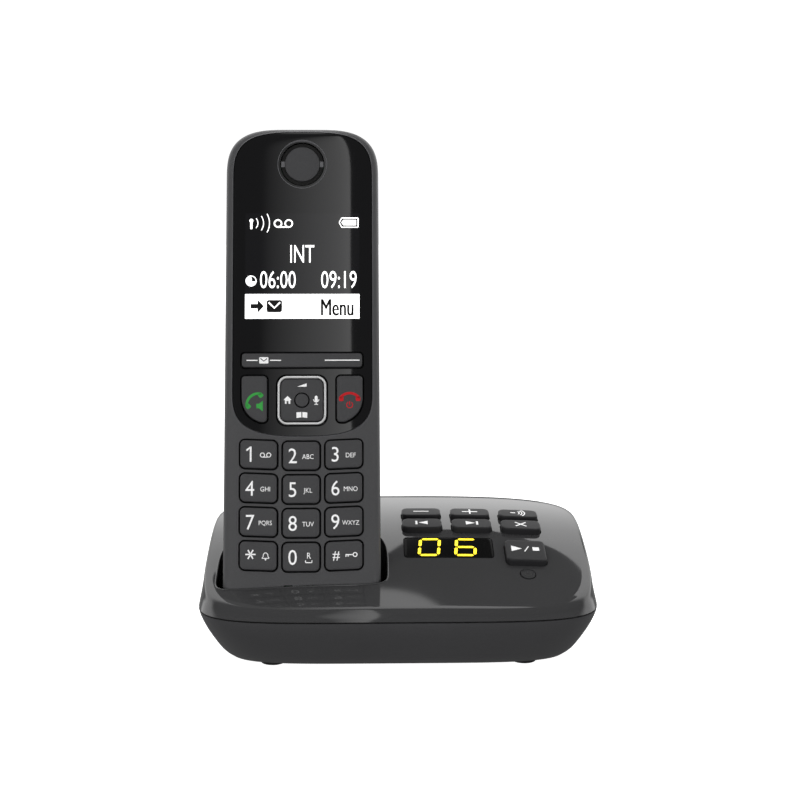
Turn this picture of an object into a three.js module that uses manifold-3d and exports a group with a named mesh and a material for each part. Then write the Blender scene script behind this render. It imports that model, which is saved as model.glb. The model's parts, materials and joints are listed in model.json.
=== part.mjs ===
// A cordless telephone handset standing in its answering-machine cradle.
// Millimetres, +Z up, front towards -Y. The origin is the centre of the footprint,
// on the surface that the cradle's feet stand on.

import * as THREE from 'three';
import { mergeVertices } from 'three/addons/utils/BufferGeometryUtils.js';
import Module from 'manifold-3d';

const wasm = await Module();
wasm.setup();

// ---------------------------------------------------------------- general fits
const GAP = 0.3; // air left between pieces that touch on the real object
const KEY_GAP = 0.36; // air around a key in its hole
const OVERSHOOT = 40; // how far cutting tools run past what they cut
const FAR = 200; // size of the blocks that split a body in two

// ---------------------------------------------------------------- cradle (base)
const BASE_WIDTH = 127.4;
const BASE_DEPTH = 78;
const BASE_CORNER_POWER = 5; // squareness of the plan outline
const BASE_SEGMENTS = 40;
const BASE_WALL = 2;
const BOTTOM_Z = 2; // underside of the lower shell
const SEAM_Z = 17; // where the two shells meet
const UNDERCUT = 8.2; // how far the lower shell draws in at its underside
const UNDERCUT_POWER = 1.35;
const CREST_RISE = 22.6; // height of the level rear of the top surface above the seam
const FRONT_SLOPE = 0.46; // the top surface's straight fall towards the front
const BEND_Y = 5; // where the level rear bends into that slope
const BEND_WIDTH = 9; // softness of the bend
const RIDGE_SETBACK = 3; // the ridge stands this far inside the seam outline
const SIDE_RINGS = [ // the side between the seam and the ridge: inset, share of the rise, drop
  { inset: 1.1, share: 0.55, drop: 0.6 },
  { inset: 1.9, share: 1, drop: 0.7 },
];
const LOW_RINGS = [2, 4, 8.5]; // heights of the lower shell's rings
const TOP_RINGS = [1, 0.72, 0.4, 0]; // the top surface's rings, as shares of the plan
const CROWN_DROP = 2.2; // fall of the top surface from its middle to its sides
const CROWN_POWER = 2.5;
const FOOT_RADIUS = 4;
const FOOT_X = 39.5;
const FOOT_Y = 24;
const SCREW_X = 51.7;
const SCREW_Y = 12;
const SCREW_HEAD_RADIUS = 2.8;
const SCREW_SHANK_RADIUS = 1.2;
const SCREW_LENGTH = 12;
const BOSS_WALL = 1.2;
const BASE_SPEAKER_RADIUS = 14;
const BASE_SPEAKER_HEIGHT = 6;
const BASE_SPEAKER_X = 27;
const BASE_SPEAKER_Y = -5;
const SLOT_WIDTH = 1.6;
const SLOT_PITCH = 4;
const SLOT_COUNT = 5;
const SOCKET_DEPTH = 12;
const SOCKET_WALL = 1.4;
const SOCKET_Z = 11; // middle of both sockets
const SOCKET_RECESS = 0.4; // the sockets' mouths stand this far inside the rear wall's lower edge
const LINE_SOCKET = { x: 16, width: 9.8, height: 6.8 };
const POWER_SOCKET = { x: -16, width: 7.8, height: 5.8 };

// ---------------------------------------------------------------- control deck of the cradle
const DECK_TILT = THREE.MathUtils.degToRad(16);
const DECK_Y = 5; // where the deck's depth is measured
const DECK_ROOM = 6.6; // from the circuit board's upper face to the top shell's inner face
const DECK_BOARD = { left: 1, right: 48.6, front: -28, rear: 14, thickness: 1.6, corner: 3 };
const MAT_THICKNESS = 1;
const BASE_KEY_TRAVEL = 0.8;
const BASE_KEY_LIFT = 2; // how far the caps stand out of the surface
const POWER_KEY_LIFT = 0.25;
const FLANGE = 0.6; // how far a key's flange reaches past its cap
const FLANGE_THICKNESS = 0.8;
const BASE_KEY_COLUMNS = [8.3, 24.8, 41.2];
const BASE_KEY_ROWS = [12, 3.2];
const BASE_KEY = { width: 13.1, height: 6.5, corner: 2 };
const PLAY_KEY = { x: 41.2, y: -11.4, width: 12.9, height: 11, corner: 1.6 };
const POWER_KEY = { x: 41, y: -20.6, radius: 2.3 };
const WINDOW = { x: 16.5, y: -8.3, width: 29, height: 11.4, corner: 1.4, thickness: 1.2, recess: 0.05 };
const DIGIT_MODULE_HEIGHT = 4.6;
const DIGIT_MODULE_MARGIN = 1; // the digit module is this much smaller than its window

// ---------------------------------------------------------------- handset
const LEAN = THREE.MathUtils.degToRad(12.5); // the handset leans back this much
const HANDSET_X = -30.4; // middle of the handset
const LIP_Y = -25; // the handset's front face at the cradle's front lip
const LIP_DROP = 1; // that point of the face lies this far below the top surface
const SUNK = 10; // length of the handset that stands below the lip
const HANDSET_LENGTH = 157.5;
const HANDSET_WIDTH = 49.8;
const HANDSET_TAPER = 0.5; // the half width shrinks this much from bottom to top
const HANDSET_SEGMENTS = 32;
const HANDSET_WALL = 1.8;
const PARTING = 8; // depth of the line between the front and the rear shell
const BACK_LOW = 18; // depth behind the parting line, in the cradle
const BACK_HIGH = 22; // the same at its thickest
const STRAIGHT_BACK = 35; // the back is straight up to here, so that it lifts out of the cradle
const THICKEST = 100; // length at which the back is thickest
const CROWN_LENGTH = 17; // the outline's rounded top
const OUTLINE_POWER = 3.1;
const CROWN_STATIONS = [2, 1.12, 0.66, 0.36, 0.17, 0.06]; // rings below the top end, in crown lengths
const BACK_CROWN_LENGTH = 31;
const BACK_POWER = 2.2;
const FRONT_CROWN_LENGTH = 9;
const FRONT_CORNER_POWER = 8;
const BACK_CORNER_POWER = 3;
const TOE_RADIUS = 3; // rounding of the bottom end

// ---------------------------------------------------------------- handset front
const FASCIA_RIM = 3; // width of the housing beside the fascia
const FASCIA = { x: 0.2, bottom: 57.35, bottomCurve: 14.15, topCurve: 15.6, power: 3, topMargin: 2.2 };
const FASCIA_THICKNESS = 0.8;
const FASCIA_LEDGE = 1.5; // width of the shelf that carries the fascia
const EARPIECE = { fromTop: 13.1, capRadius: 5.6, flangeRadius: 6.7, holeRadius: 7.1, receiverRadius: 6.4 };
const EARPIECE_DEPTHS = { cap: 0.1, flange: 0.55 }; // of the cap's face and of the groove round it
const EARPIECE_Y = HANDSET_LENGTH - EARPIECE.fromTop;
const LCD = { x: 0.1, rim: 6.7, bottom: 94.5, fromTop: 29.1, margin: 0.8, thickness: 3, corner: 1 };
const LCD_TOP = HANDSET_LENGTH - LCD.fromTop;
const KEY_RIM = 5.8; // width of the housing beside the outermost keys
const SOFT_BAR = { y: 81.2, rim: 5.9, height: 4.4, corner: 1, lift: 0.35, depth: 2 };
const NAV = { x: 0.1, y: 68.5, size: 13.3, corner: 2, ringGap: 0.3, ringWidth: 0.75, lift: 0.7 };
const NAV_RING_CORNER = NAV.corner + NAV.ringGap + NAV.ringWidth;
const OK_RADIUS = 2.1;
const OK_LIFT = 0.1; // the centre key stands this far out of the pad
const CALL_KEY = { y: 68.9, spacing: 3.3, height: 14.6, corner: 1.2, lift: 0.7 };
const DIGIT_X = -0.1; // middle column
const DIGIT_SPACING = 1.9; // housing between neighbouring columns
const DIGIT_ROW_PITCH = 10.56;
const DIGIT_BOTTOM_ROW = 19.8; // middle of the lowest row
const DIGIT_KEY = { height: 8.7, corner: 1.5, lift: 0.6 };
const DIGIT_WIDTH = (HANDSET_WIDTH - 2 * KEY_RIM - 2 * DIGIT_SPACING) / 3;
const DIGIT_SMILE = 0.04; // slope of the outer columns' edges
const MIDDLE_COLUMN_DROP = 0.45;
const DIGIT_NAMES = [
  ['key_star', 'key_0', 'key_hash'],
  ['key_7', 'key_8', 'key_9'],
  ['key_4', 'key_5', 'key_6'],
  ['key_1', 'key_2', 'key_3'],
];
const KEY_TRAVEL = 0.8;
const KEY_FOOT = 3.2; // depth of the underside of every handset key
const MIC = { y: 10.35, radius: 3, depth: 2.6, slotWidth: 11.4, slotHeight: 0.5 };

// ---------------------------------------------------------------- handset inside
const BOARD = { rim: 3.9, bottom: 6, top: HANDSET_LENGTH - 12, corner: 6, thickness: 1.2 };
const KEYPAD_MAT = { rim: 4.5, bottom: 14, top: 84.6, corner: 2, thickness: 0.8 };
const CELL = { radius: 5.2, length: 43.7, nubRadius: 1.9, nubLength: 0.8 };
const CELL_SPACING = 11.4;
const BAY = { bottom: 46.5, wall: 1.3, springRoom: 3.2, headRoom: 3.6, floorDepth: 13.8 };
const COVER = { rim: 7.4, margin: 3, corner: 5, thickness: 1.6 };
const COVER_CUT_DEPTH = 16; // the opening for the cover starts at this depth
const LOUDSPEAKER = { y: 122, radius: 9, depth: 5, rearRoom: 2 };
const CONTACT = { x: 13, depth: 13, width: 6, reach: 3, thickness: 0.8, recess: 0.6 };
const BLADE = { width: 3.4, reach: 1.4, foot: 1, footMargin: 1 };
const SPRING = { halfDepth: 3.6, thickness: 0.6, tipRadius: 1.6, footRadius: 3 };

// ---------------------------------------------------------------- pocket of the cradle
const POCKET_SIDE_GAP = 2.1; // air beside the handset
const POCKET_FACE_GAP = 1; // air before and behind it
const POCKET_FLOOR_GAP = 0.5;

const LOOKS = {
  housing: { color: 0x424344, roughness: 0.5, metalness: 0 },
  cradleTop: { color: 0x3a3a3b, roughness: 0.18, metalness: 0 },
  gloss: { color: 0x0b0b0c, roughness: 0.06, metalness: 0 },
  key: { color: 0x303132, roughness: 0.5, metalness: 0 },
  cradleKey: { color: 0x262627, roughness: 0.45, metalness: 0 },
  chrome: { color: 0xd5d7da, roughness: 0.15, metalness: 1 },
  screen: { color: 0x1a1b1e, roughness: 0.2, metalness: 0 },
  digits: { color: 0xf4e020, roughness: 0.4, metalness: 0 },
  board: { color: 0x1d5a34, roughness: 0.6, metalness: 0 },
  silicone: { color: 0x8c8f92, roughness: 0.7, metalness: 0 },
  rubber: { color: 0x1b1b1b, roughness: 0.85, metalness: 0 },
  steel: { color: 0x9a9da1, roughness: 0.3, metalness: 1 },
  contact: { color: 0xc9b27a, roughness: 0.25, metalness: 1 },
  cell: { color: 0x2f6f8f, roughness: 0.4, metalness: 0 },
  socket: { color: 0x141414, roughness: 0.5, metalness: 0 },
};

// ---------------------------------------------------------------- geometry helpers

// A closed three.js geometry as a solid: shared corners merged, collapsed faces left out.
function solid(geometry) {
  const bare = geometry.clone();
  bare.deleteAttribute('normal');
  bare.deleteAttribute('uv');
  const merged = mergeVertices(bare, 1e-4);
  const index = merged.index.array;
  const faces = [];
  for (let i = 0; i < index.length; i += 3) {
    const [a, b, c] = [index[i], index[i + 1], index[i + 2]];
    if (a !== b && b !== c && c !== a) faces.push(a, b, c);
  }
  const vertProperties = new Float32Array(merged.attributes.position.array);
  const triVerts = new Uint32Array(faces);
  return new wasm.Manifold(new wasm.Mesh({ numProp: 3, vertProperties, triVerts }));
}

// A solid as a three.js geometry.
function geometryOf(body) {
  const { vertProperties, triVerts } = body.getMesh();
  const geometry = new THREE.BufferGeometry();
  geometry.setAttribute('position', new THREE.BufferAttribute(vertProperties, 3));
  geometry.setIndex(new THREE.BufferAttribute(triVerts, 1));
  geometry.computeVertexNormals();
  return geometry;
}

// A named mesh with a material of its own.
function piece(name, shape, look) {
  const geometry = shape.isBufferGeometry ? shape : geometryOf(shape);
  const result = new THREE.Mesh(geometry, new THREE.MeshStandardMaterial(look));
  result.name = name;
  return result;
}

// A closed body through a stack of rings. Each ring maps a turn to a point; the first
// and the last ring are single points.
function ringBody(rings, segments) {
  const last = rings.length - 1;
  const profile = rings.map((ring, level) => new THREE.Vector2(level % last === 0 ? 0 : 1, level));
  const geometry = new THREE.LatheGeometry(profile, segments);
  const position = geometry.attributes.position;
  for (let i = 0; i < position.count; i += 1) {
    const turn = Math.atan2(position.getX(i), position.getZ(i));
    position.setXYZ(i, ...rings[Math.round(position.getY(i))](turn));
  }
  return geometry;
}

// Signed power of a cosine or sine, exactly zero where the wave is.
function wave(value, power) {
  return Math.abs(value) < 1e-9 ? 0 : Math.sign(value) * Math.abs(value) ** power;
}

// Height of a superellipse quarter over its span, from 1 at the start to 0 at the end.
function quarter(share, power) {
  const clipped = THREE.MathUtils.clamp(share, 0, 1);
  return (1 - clipped ** power) ** (1 / power);
}

function roundedRectangle(width, height, radius) {
  const corner = Math.min(radius, width / 2, height / 2);
  const [x, y] = [width / 2 - corner, height / 2 - corner];
  const shape = new THREE.Shape();
  shape.absarc(x, -y, corner, -Math.PI / 2, 0);
  shape.absarc(x, y, corner, 0, Math.PI / 2);
  shape.absarc(-x, y, corner, Math.PI / 2, Math.PI);
  shape.absarc(-x, -y, corner, Math.PI, Math.PI * 1.5);
  return shape;
}

// A plate of a shape between two heights. Every arc of the shape becomes twice cornerSteps facets.
function plate(shape, low, high, cornerSteps = 1) {
  const options = { depth: high - low, bevelEnabled: false, curveSegments: cornerSteps };
  return new THREE.ExtrudeGeometry(shape, options).translate(0, 0, low);
}

function roundedPlate(width, height, radius, low, high) {
  return plate(roundedRectangle(width, height, radius), low, high);
}

function disc(radius, low, high, segments = 20) {
  return new THREE.CylinderGeometry(radius, radius, high - low, segments)
    .rotateX(Math.PI / 2)
    .translate(0, 0, (low + high) / 2);
}

function block(x, y, z) {
  return new THREE.BoxGeometry(x[1] - x[0], y[1] - y[0], z[1] - z[0])
    .translate((x[0] + x[1]) / 2, (y[0] + y[1]) / 2, (z[0] + z[1]) / 2);
}

// ---------------------------------------------------------------- frames

// The handset's own frame: x across, y depth (0 at the front face), z along it from its bottom end.
const LIP_Z = topHeight(HANDSET_X, LIP_Y) - LIP_DROP;
const handsetFrame = new THREE.Matrix4()
  .makeRotationX(-LEAN)
  .setPosition(HANDSET_X, LIP_Y - SUNK * Math.sin(LEAN), LIP_Z - SUNK * Math.cos(LEAN));

// The control deck's frame: x across, y up the slope, z out of the circuit board.
const DECK_Z = topHeight(BASE_KEY_COLUMNS[1], DECK_Y) - BASE_WALL - DECK_ROOM;
const deckFrame = new THREE.Matrix4().makeRotationX(DECK_TILT).setPosition(0, DECK_Y, DECK_Z);

// Plates that are drawn in the handset's front view: x across, y along it, height = -depth.
const frontView = new THREE.Matrix4().makeRotationX(Math.PI / 2);

// A tool or piece that is drawn in the front view, between two depths.
function frontPlate(shape, nearDepth, farDepth, cornerSteps = 1) {
  return plate(shape, -farDepth, -nearDepth, cornerSteps).applyMatrix4(frontView);
}

// ---------------------------------------------------------------- cradle surfaces

// Height of the top surface: level behind, one soft bend, then a straight slope, crowned across.
function topHeight(x, y) {
  const fall = FRONT_SLOPE * BEND_WIDTH * Math.log1p(Math.exp((BEND_Y - y) / BEND_WIDTH));
  const crown = CROWN_DROP * (Math.abs(x) / (BASE_WIDTH / 2)) ** CROWN_POWER;
  return SEAM_Z + CREST_RISE - fall - crown;
}

// Plan outline of the cradle, drawn in by an inset and scaled about its middle.
function basePlan(turn, inset, scale = 1) {
  const power = 2 / BASE_CORNER_POWER;
  return [
    scale * (BASE_WIDTH / 2 - inset) * wave(Math.cos(turn), power),
    scale * (BASE_DEPTH / 2 - inset) * wave(Math.sin(turn), power),
  ];
}

// How far the lower shell draws in at a height.
function undercut(z) {
  return UNDERCUT * (1 - (z - BOTTOM_Z) / (SEAM_Z - BOTTOM_Z)) ** UNDERCUT_POWER;
}

// The cradle's outer body, or the same body with its skin moved in by a wall and raised by a lift.
function baseBody(wall = 0, lift = 0) {
  const surface = (x, y) => topHeight(x, y) - wall + lift;
  const lowRing = (z, scale = 1) => (turn) => {
    return [...basePlan(turn, undercut(z) + wall, scale), z + (z < SEAM_Z ? wall : 0)];
  };
  const sideRing = ({ inset, share, drop }) => (turn) => {
    const [x, y] = basePlan(turn, inset + wall);
    return [x, y, SEAM_Z + share * (surface(x, y) - drop - SEAM_Z)];
  };
  const topRing = (scale) => (turn) => {
    const [x, y] = basePlan(turn, RIDGE_SETBACK + wall, scale);
    return [x, y, surface(x, y)];
  };
  return ringBody([
    lowRing(BOTTOM_Z, 0),
    ...LOW_RINGS.map((z) => lowRing(z)),
    lowRing(SEAM_Z),
    ...SIDE_RINGS.map(sideRing),
    ...TOP_RINGS.map(topRing),
  ], BASE_SEGMENTS);
}

// ---------------------------------------------------------------- handset surfaces

function handsetHalfWidth(z) {
  const rise = (z - HANDSET_LENGTH + CROWN_LENGTH) / CROWN_LENGTH;
  const toe = TOE_RADIUS * (1 - quarter(1 - z / TOE_RADIUS, 2));
  return (HANDSET_WIDTH / 2 - HANDSET_TAPER * (z / HANDSET_LENGTH)) * quarter(rise, OUTLINE_POWER) - toe;
}

function handsetFront(z) {
  const rise = (z - HANDSET_LENGTH + FRONT_CROWN_LENGTH) / FRONT_CROWN_LENGTH;
  const toe = TOE_RADIUS * (1 - quarter(1 - z / TOE_RADIUS, 2));
  return PARTING * quarter(rise, OUTLINE_POWER) - toe;
}

function handsetBack(z) {
  const share = THREE.MathUtils.smoothstep(z, STRAIGHT_BACK, THICKEST);
  const rise = (z - HANDSET_LENGTH + BACK_CROWN_LENGTH) / BACK_CROWN_LENGTH;
  const toe = TOE_RADIUS * (1 - quarter(1 - z / TOE_RADIUS, 2));
  return (BACK_LOW + (BACK_HIGH - BACK_LOW) * share) * quarter(rise, BACK_POWER) - toe;
}

// A point of the handset's section: flat with tight corners in front, rounder behind.
function handsetSection(turn, halfWidth, front, back) {
  const behind = Math.sin(turn) > 0;
  const power = 2 / (behind ? BACK_CORNER_POWER : FRONT_CORNER_POWER);
  return [
    halfWidth * wave(Math.cos(turn), power),
    PARTING + (behind ? back : front) * wave(Math.sin(turn), power),
  ];
}

// The handset's outer body, or the same body with its skin moved in by a wall.
function handsetBody(wall = 0) {
  const stations = [
    0, 0.27 * TOE_RADIUS, TOE_RADIUS, STRAIGHT_BACK, (STRAIGHT_BACK + THICKEST) / 2, THICKEST,
    ...CROWN_STATIONS.map((share) => HANDSET_LENGTH - share * CROWN_LENGTH),
  ];
  const length = (z) => wall + z * (1 - 2 * wall / HANDSET_LENGTH);
  const ring = (z) => (turn) => [
    ...handsetSection(turn, handsetHalfWidth(z) - wall, handsetFront(z) - wall, handsetBack(z) - wall),
    length(z),
  ];
  const end = (z) => () => [0, PARTING, length(z)];
  return ringBody([end(0), ...stations.map(ring), end(HANDSET_LENGTH)], HANDSET_SEGMENTS);
}

// The section that stands in the cradle with its air round it, grown by a wall.
function pocketShape(wall) {
  const points = [];
  for (let i = 0; i < HANDSET_SEGMENTS; i += 1) {
    const turn = (i / HANDSET_SEGMENTS) * Math.PI * 2;
    points.push(new THREE.Vector2(...handsetSection(
      turn,
      HANDSET_WIDTH / 2 + POCKET_SIDE_GAP + wall,
      PARTING + POCKET_FACE_GAP + wall,
      BACK_LOW + POCKET_FACE_GAP + wall,
    )));
  }
  return new THREE.Shape(points);
}

const POCKET_FLOOR = -POCKET_FLOOR_GAP;

function pocketTool(wall, floor) {
  return plate(pocketShape(wall), floor, OVERSHOOT).applyMatrix4(handsetFrame);
}

// ---------------------------------------------------------------- control deck

// How far up the deck the top surface's point above a plan point lies.
function deckSlope({ x, y }) {
  return (y - DECK_Y) * Math.cos(DECK_TILT) + (topHeight(x, y) - DECK_Z) * Math.sin(DECK_TILT);
}

// Places a deck plate so that its middle comes out of the top surface above a plan point.
function onDeck(geometry, place) {
  return geometry.translate(place.x, deckSlope(place), 0).applyMatrix4(deckFrame);
}

const MAT_LOW = GAP;
const BASE_KEY_FOOT = MAT_LOW + MAT_THICKNESS + GAP + BASE_KEY_TRAVEL;

const BASE_KEYS = [
  { name: 'base_key_minus', x: BASE_KEY_COLUMNS[0], y: BASE_KEY_ROWS[0] },
  { name: 'base_key_plus', x: BASE_KEY_COLUMNS[1], y: BASE_KEY_ROWS[0] },
  { name: 'base_key_page', x: BASE_KEY_COLUMNS[2], y: BASE_KEY_ROWS[0] },
  { name: 'base_key_previous', x: BASE_KEY_COLUMNS[0], y: BASE_KEY_ROWS[1] },
  { name: 'base_key_next', x: BASE_KEY_COLUMNS[1], y: BASE_KEY_ROWS[1] },
  { name: 'base_key_delete', x: BASE_KEY_COLUMNS[2], y: BASE_KEY_ROWS[1] },
].map((key) => ({ ...key, ...BASE_KEY, lift: BASE_KEY_LIFT }));
BASE_KEYS.push({ name: 'base_key_play', ...PLAY_KEY, lift: BASE_KEY_LIFT });

function baseKeyPlate(key, grow, low, high) {
  const shape = roundedPlate(key.width + 2 * grow, key.height + 2 * grow, key.corner + grow, low, high);
  return onDeck(shape, key);
}

function powerKeyPlate(grow, low, high) {
  return onDeck(disc(POWER_KEY.radius + grow, low, high, 16), POWER_KEY);
}

function windowPlate(grow, low, high) {
  const [width, height] = [WINDOW.width + 2 * grow, WINDOW.height + 2 * grow];
  const shape = roundedPlate(width, height, WINDOW.corner + grow, low, high);
  return onDeck(shape, WINDOW);
}

function deckKeys() {
  const raised = solid(baseBody(0, BASE_KEY_LIFT));
  const keys = BASE_KEYS.map((key) => {
    const cap = solid(baseKeyPlate(key, 0, BASE_KEY_FOOT, OVERSHOOT)).intersect(raised);
    const flange = solid(baseKeyPlate(key, FLANGE, BASE_KEY_FOOT, BASE_KEY_FOOT + FLANGE_THICKNESS));
    return piece(key.name, cap.add(flange), LOOKS.cradleKey);
  });
  const nearlyFlush = solid(baseBody(0, POWER_KEY_LIFT));
  const cap = solid(powerKeyPlate(0, BASE_KEY_FOOT, OVERSHOOT)).intersect(nearlyFlush);
  const flange = solid(powerKeyPlate(FLANGE, BASE_KEY_FOOT, BASE_KEY_FOOT + FLANGE_THICKNESS));
  keys.push(piece('base_key_power', cap.add(flange), LOOKS.cradleKey));
  return keys;
}

function deckBoard() {
  const { left, right, front, rear, corner, thickness } = DECK_BOARD;
  const board = roundedPlate(right - left, rear - front, corner, -thickness, 0);
  board.translate((left + right) / 2, (front + rear) / 2, 0);
  return piece('base_circuit_board', board.applyMatrix4(deckFrame), LOOKS.board);
}

// One silicone mat under all the cradle's keys; it goes round the digit module.
function deckMat() {
  const { left, right, front, rear } = DECK_BOARD;
  const moduleRear = deckSlope(WINDOW) + WINDOW.height / 2 + GAP;
  const moduleRight = WINDOW.x + WINDOW.width / 2 + GAP;
  const height = [MAT_LOW, MAT_LOW + MAT_THICKNESS];
  const rows = block([left, right], [moduleRear, rear], height).applyMatrix4(deckFrame);
  const column = block([moduleRight, right], [front, rear], height).applyMatrix4(deckFrame);
  return piece('base_key_mat', solid(rows).add(solid(column)), LOOKS.silicone);
}

function deckDisplay() {
  const lens = solid(windowPlate(0, 0, OVERSHOOT))
    .intersect(solid(baseBody(WINDOW.recess)))
    .subtract(solid(baseBody(WINDOW.recess + WINDOW.thickness)));
  const module = windowPlate(-DIGIT_MODULE_MARGIN, GAP, GAP + DIGIT_MODULE_HEIGHT);
  return [
    piece('base_display_window', lens, LOOKS.gloss),
    piece('base_display_module', module, LOOKS.digits),
  ];
}

// ---------------------------------------------------------------- cradle shells

function contactPlate(side, width, reach, low, high) {
  return block(
    [side * CONTACT.x - width / 2, side * CONTACT.x + width / 2],
    [CONTACT.depth - reach / 2, CONTACT.depth + reach / 2],
    [low, high],
  );
}

function bossPlace(geometry, side) {
  return geometry.translate(side * SCREW_X, SCREW_Y, 0);
}

const BOSS_RADIUS = SCREW_SHANK_RADIUS + GAP + BOSS_WALL;
const BOSS_Z = BOTTOM_Z + BASE_WALL + GAP;

function baseTopShell() {
  const outer = solid(baseBody());
  const above = solid(block([-FAR, FAR], [-FAR, FAR], [SEAM_Z + GAP / 2, FAR]));
  const well = solid(pocketTool(BASE_WALL, POCKET_FLOOR - BASE_WALL));
  // The pocket and the screw bosses reach down past the seam, clear of the lower shell.
  const room = outer.intersect(above).add(solid(baseBody(BASE_WALL + GAP)));
  let shell = outer.subtract(solid(baseBody(BASE_WALL))).intersect(above).add(well.intersect(room));
  for (const side of [-1, 1]) {
    const boss = solid(bossPlace(disc(BOSS_RADIUS, BOSS_Z, OVERSHOOT, 16), side));
    shell = shell.add(boss.intersect(room));
    const bore = disc(SCREW_SHANK_RADIUS + GAP, 0, BOSS_Z + SCREW_LENGTH, 12);
    shell = shell.subtract(solid(bossPlace(bore, side)));
    const slot = contactPlate(side, BLADE.width + 2 * GAP, BLADE.reach + 2 * GAP, -OVERSHOOT, OVERSHOOT);
    shell = shell.subtract(solid(slot.applyMatrix4(handsetFrame)));
  }
  shell = shell.subtract(solid(pocketTool(0, POCKET_FLOOR)));
  for (const key of BASE_KEYS) {
    shell = shell.subtract(solid(baseKeyPlate(key, KEY_GAP, 0, OVERSHOOT)));
  }
  shell = shell.subtract(solid(powerKeyPlate(KEY_GAP, 0, OVERSHOOT)));
  shell = shell.subtract(solid(windowPlate(GAP, 0, OVERSHOOT)));
  return piece('base_top_shell', shell, LOOKS.cradleTop);
}

// The rear wall's face at a height, at a distance from the middle.
function rearWallY(x, z) {
  const share = Math.abs(x) / (BASE_WIDTH / 2 - undercut(z));
  return (BASE_DEPTH / 2 - undercut(z)) * quarter(share, BASE_CORNER_POWER);
}

// Box of a socket's body, or of its opening when the wall is zero.
function socketBlock({ x, width, height }, wall, near, far) {
  return block(
    [x - width / 2 - wall, x + width / 2 + wall],
    [near, far],
    [SOCKET_Z - height / 2 - wall, SOCKET_Z + height / 2 + wall],
  );
}

function baseBottomShell() {
  const below = solid(block([-FAR, FAR], [-FAR, FAR], [-FAR, SEAM_Z - GAP / 2]));
  let shell = solid(baseBody()).subtract(solid(baseBody(BASE_WALL))).intersect(below);
  for (const side of [-1, 1]) {
    shell = shell.subtract(solid(bossPlace(disc(SCREW_HEAD_RADIUS + GAP, 0, BOSS_Z, 16), side)));
  }
  for (const socket of [LINE_SOCKET, POWER_SOCKET]) {
    const near = BASE_DEPTH / 2 - SOCKET_DEPTH;
    shell = shell.subtract(solid(socketBlock(socket, SOCKET_WALL + GAP, near, BASE_DEPTH)));
  }
  for (let i = 0; i < SLOT_COUNT; i += 1) {
    const offset = (i - (SLOT_COUNT - 1) / 2) * SLOT_PITCH;
    const half = Math.sqrt((BASE_SPEAKER_RADIUS - BOSS_WALL) ** 2 - offset ** 2);
    const slot = roundedPlate(2 * half, SLOT_WIDTH, SLOT_WIDTH / 2, 0, BOSS_Z);
    shell = shell.subtract(solid(slot.translate(BASE_SPEAKER_X, BASE_SPEAKER_Y + offset, 0)));
  }
  return piece('base_bottom_shell', shell, LOOKS.housing);
}

function socketPiece(name, socket) {
  const lowest = SOCKET_Z - socket.height / 2 - SOCKET_WALL;
  const rear = rearWallY(Math.abs(socket.x) + socket.width / 2 + SOCKET_WALL, lowest) - SOCKET_RECESS;
  const front = rear - SOCKET_DEPTH;
  const body = solid(socketBlock(socket, SOCKET_WALL, front, rear));
  const opening = solid(socketBlock(socket, 0, front + SOCKET_WALL, rear + OVERSHOOT));
  return piece(name, body.subtract(opening), LOOKS.socket);
}

function baseFoot(name, x, y) {
  const foot = piece(name, disc(FOOT_RADIUS, 0, BOTTOM_Z - GAP), LOOKS.rubber);
  foot.position.set(x, y, 0);
  return foot;
}

function baseScrew(name, side) {
  const headTop = BOTTOM_Z + BASE_WALL - GAP;
  const profile = [
    [0, BOTTOM_Z + GAP], [SCREW_HEAD_RADIUS, BOTTOM_Z + GAP], [SCREW_HEAD_RADIUS, headTop],
    [SCREW_SHANK_RADIUS, headTop], [SCREW_SHANK_RADIUS, headTop + SCREW_LENGTH - GAP],
    [0, headTop + SCREW_LENGTH],
  ].map(([radius, height]) => new THREE.Vector2(radius, height));
  const screw = piece(name, new THREE.LatheGeometry(profile, 12).rotateX(Math.PI / 2), LOOKS.steel);
  screw.position.set(side * SCREW_X, SCREW_Y, 0);
  return screw;
}

function baseSpeaker() {
  const low = BOTTOM_Z + BASE_WALL + GAP;
  const shape = disc(BASE_SPEAKER_RADIUS, low, low + BASE_SPEAKER_HEIGHT, 24);
  const speaker = piece('base_speaker', shape, LOOKS.steel);
  speaker.position.set(BASE_SPEAKER_X, BASE_SPEAKER_Y, 0);
  return speaker;
}

// A sprung charging blade that comes up through the pocket's floor into the handset's end.
function chargingBlade(name, side) {
  const footTop = POCKET_FLOOR - BASE_WALL - GAP;
  const tip = CONTACT.recess - GAP;
  const stem = solid(contactPlate(side, BLADE.width, BLADE.reach, footTop - BLADE.foot, tip));
  const [footWidth, footReach] = [BLADE.width + 2 * BLADE.footMargin, BLADE.reach + 2 * BLADE.footMargin];
  const foot = solid(contactPlate(side, footWidth, footReach, footTop - BLADE.foot, footTop));
  return piece(name, stem.add(foot), LOOKS.contact);
}

function cradle() {
  const group = new THREE.Group();
  group.add(baseTopShell(), baseBottomShell());
  for (const [end, y] of [['front', -FOOT_Y], ['rear', FOOT_Y]]) {
    group.add(baseFoot(`foot_${end}_left`, -FOOT_X, y), baseFoot(`foot_${end}_right`, FOOT_X, y));
  }
  group.add(baseScrew('base_screw_left', -1), baseScrew('base_screw_right', 1));
  group.add(baseSpeaker(), deckBoard(), deckMat(), ...deckDisplay(), ...deckKeys());
  group.add(socketPiece('line_socket', LINE_SOCKET), socketPiece('power_socket', POWER_SOCKET));
  return group;
}

// ---------------------------------------------------------------- handset shells

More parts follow.
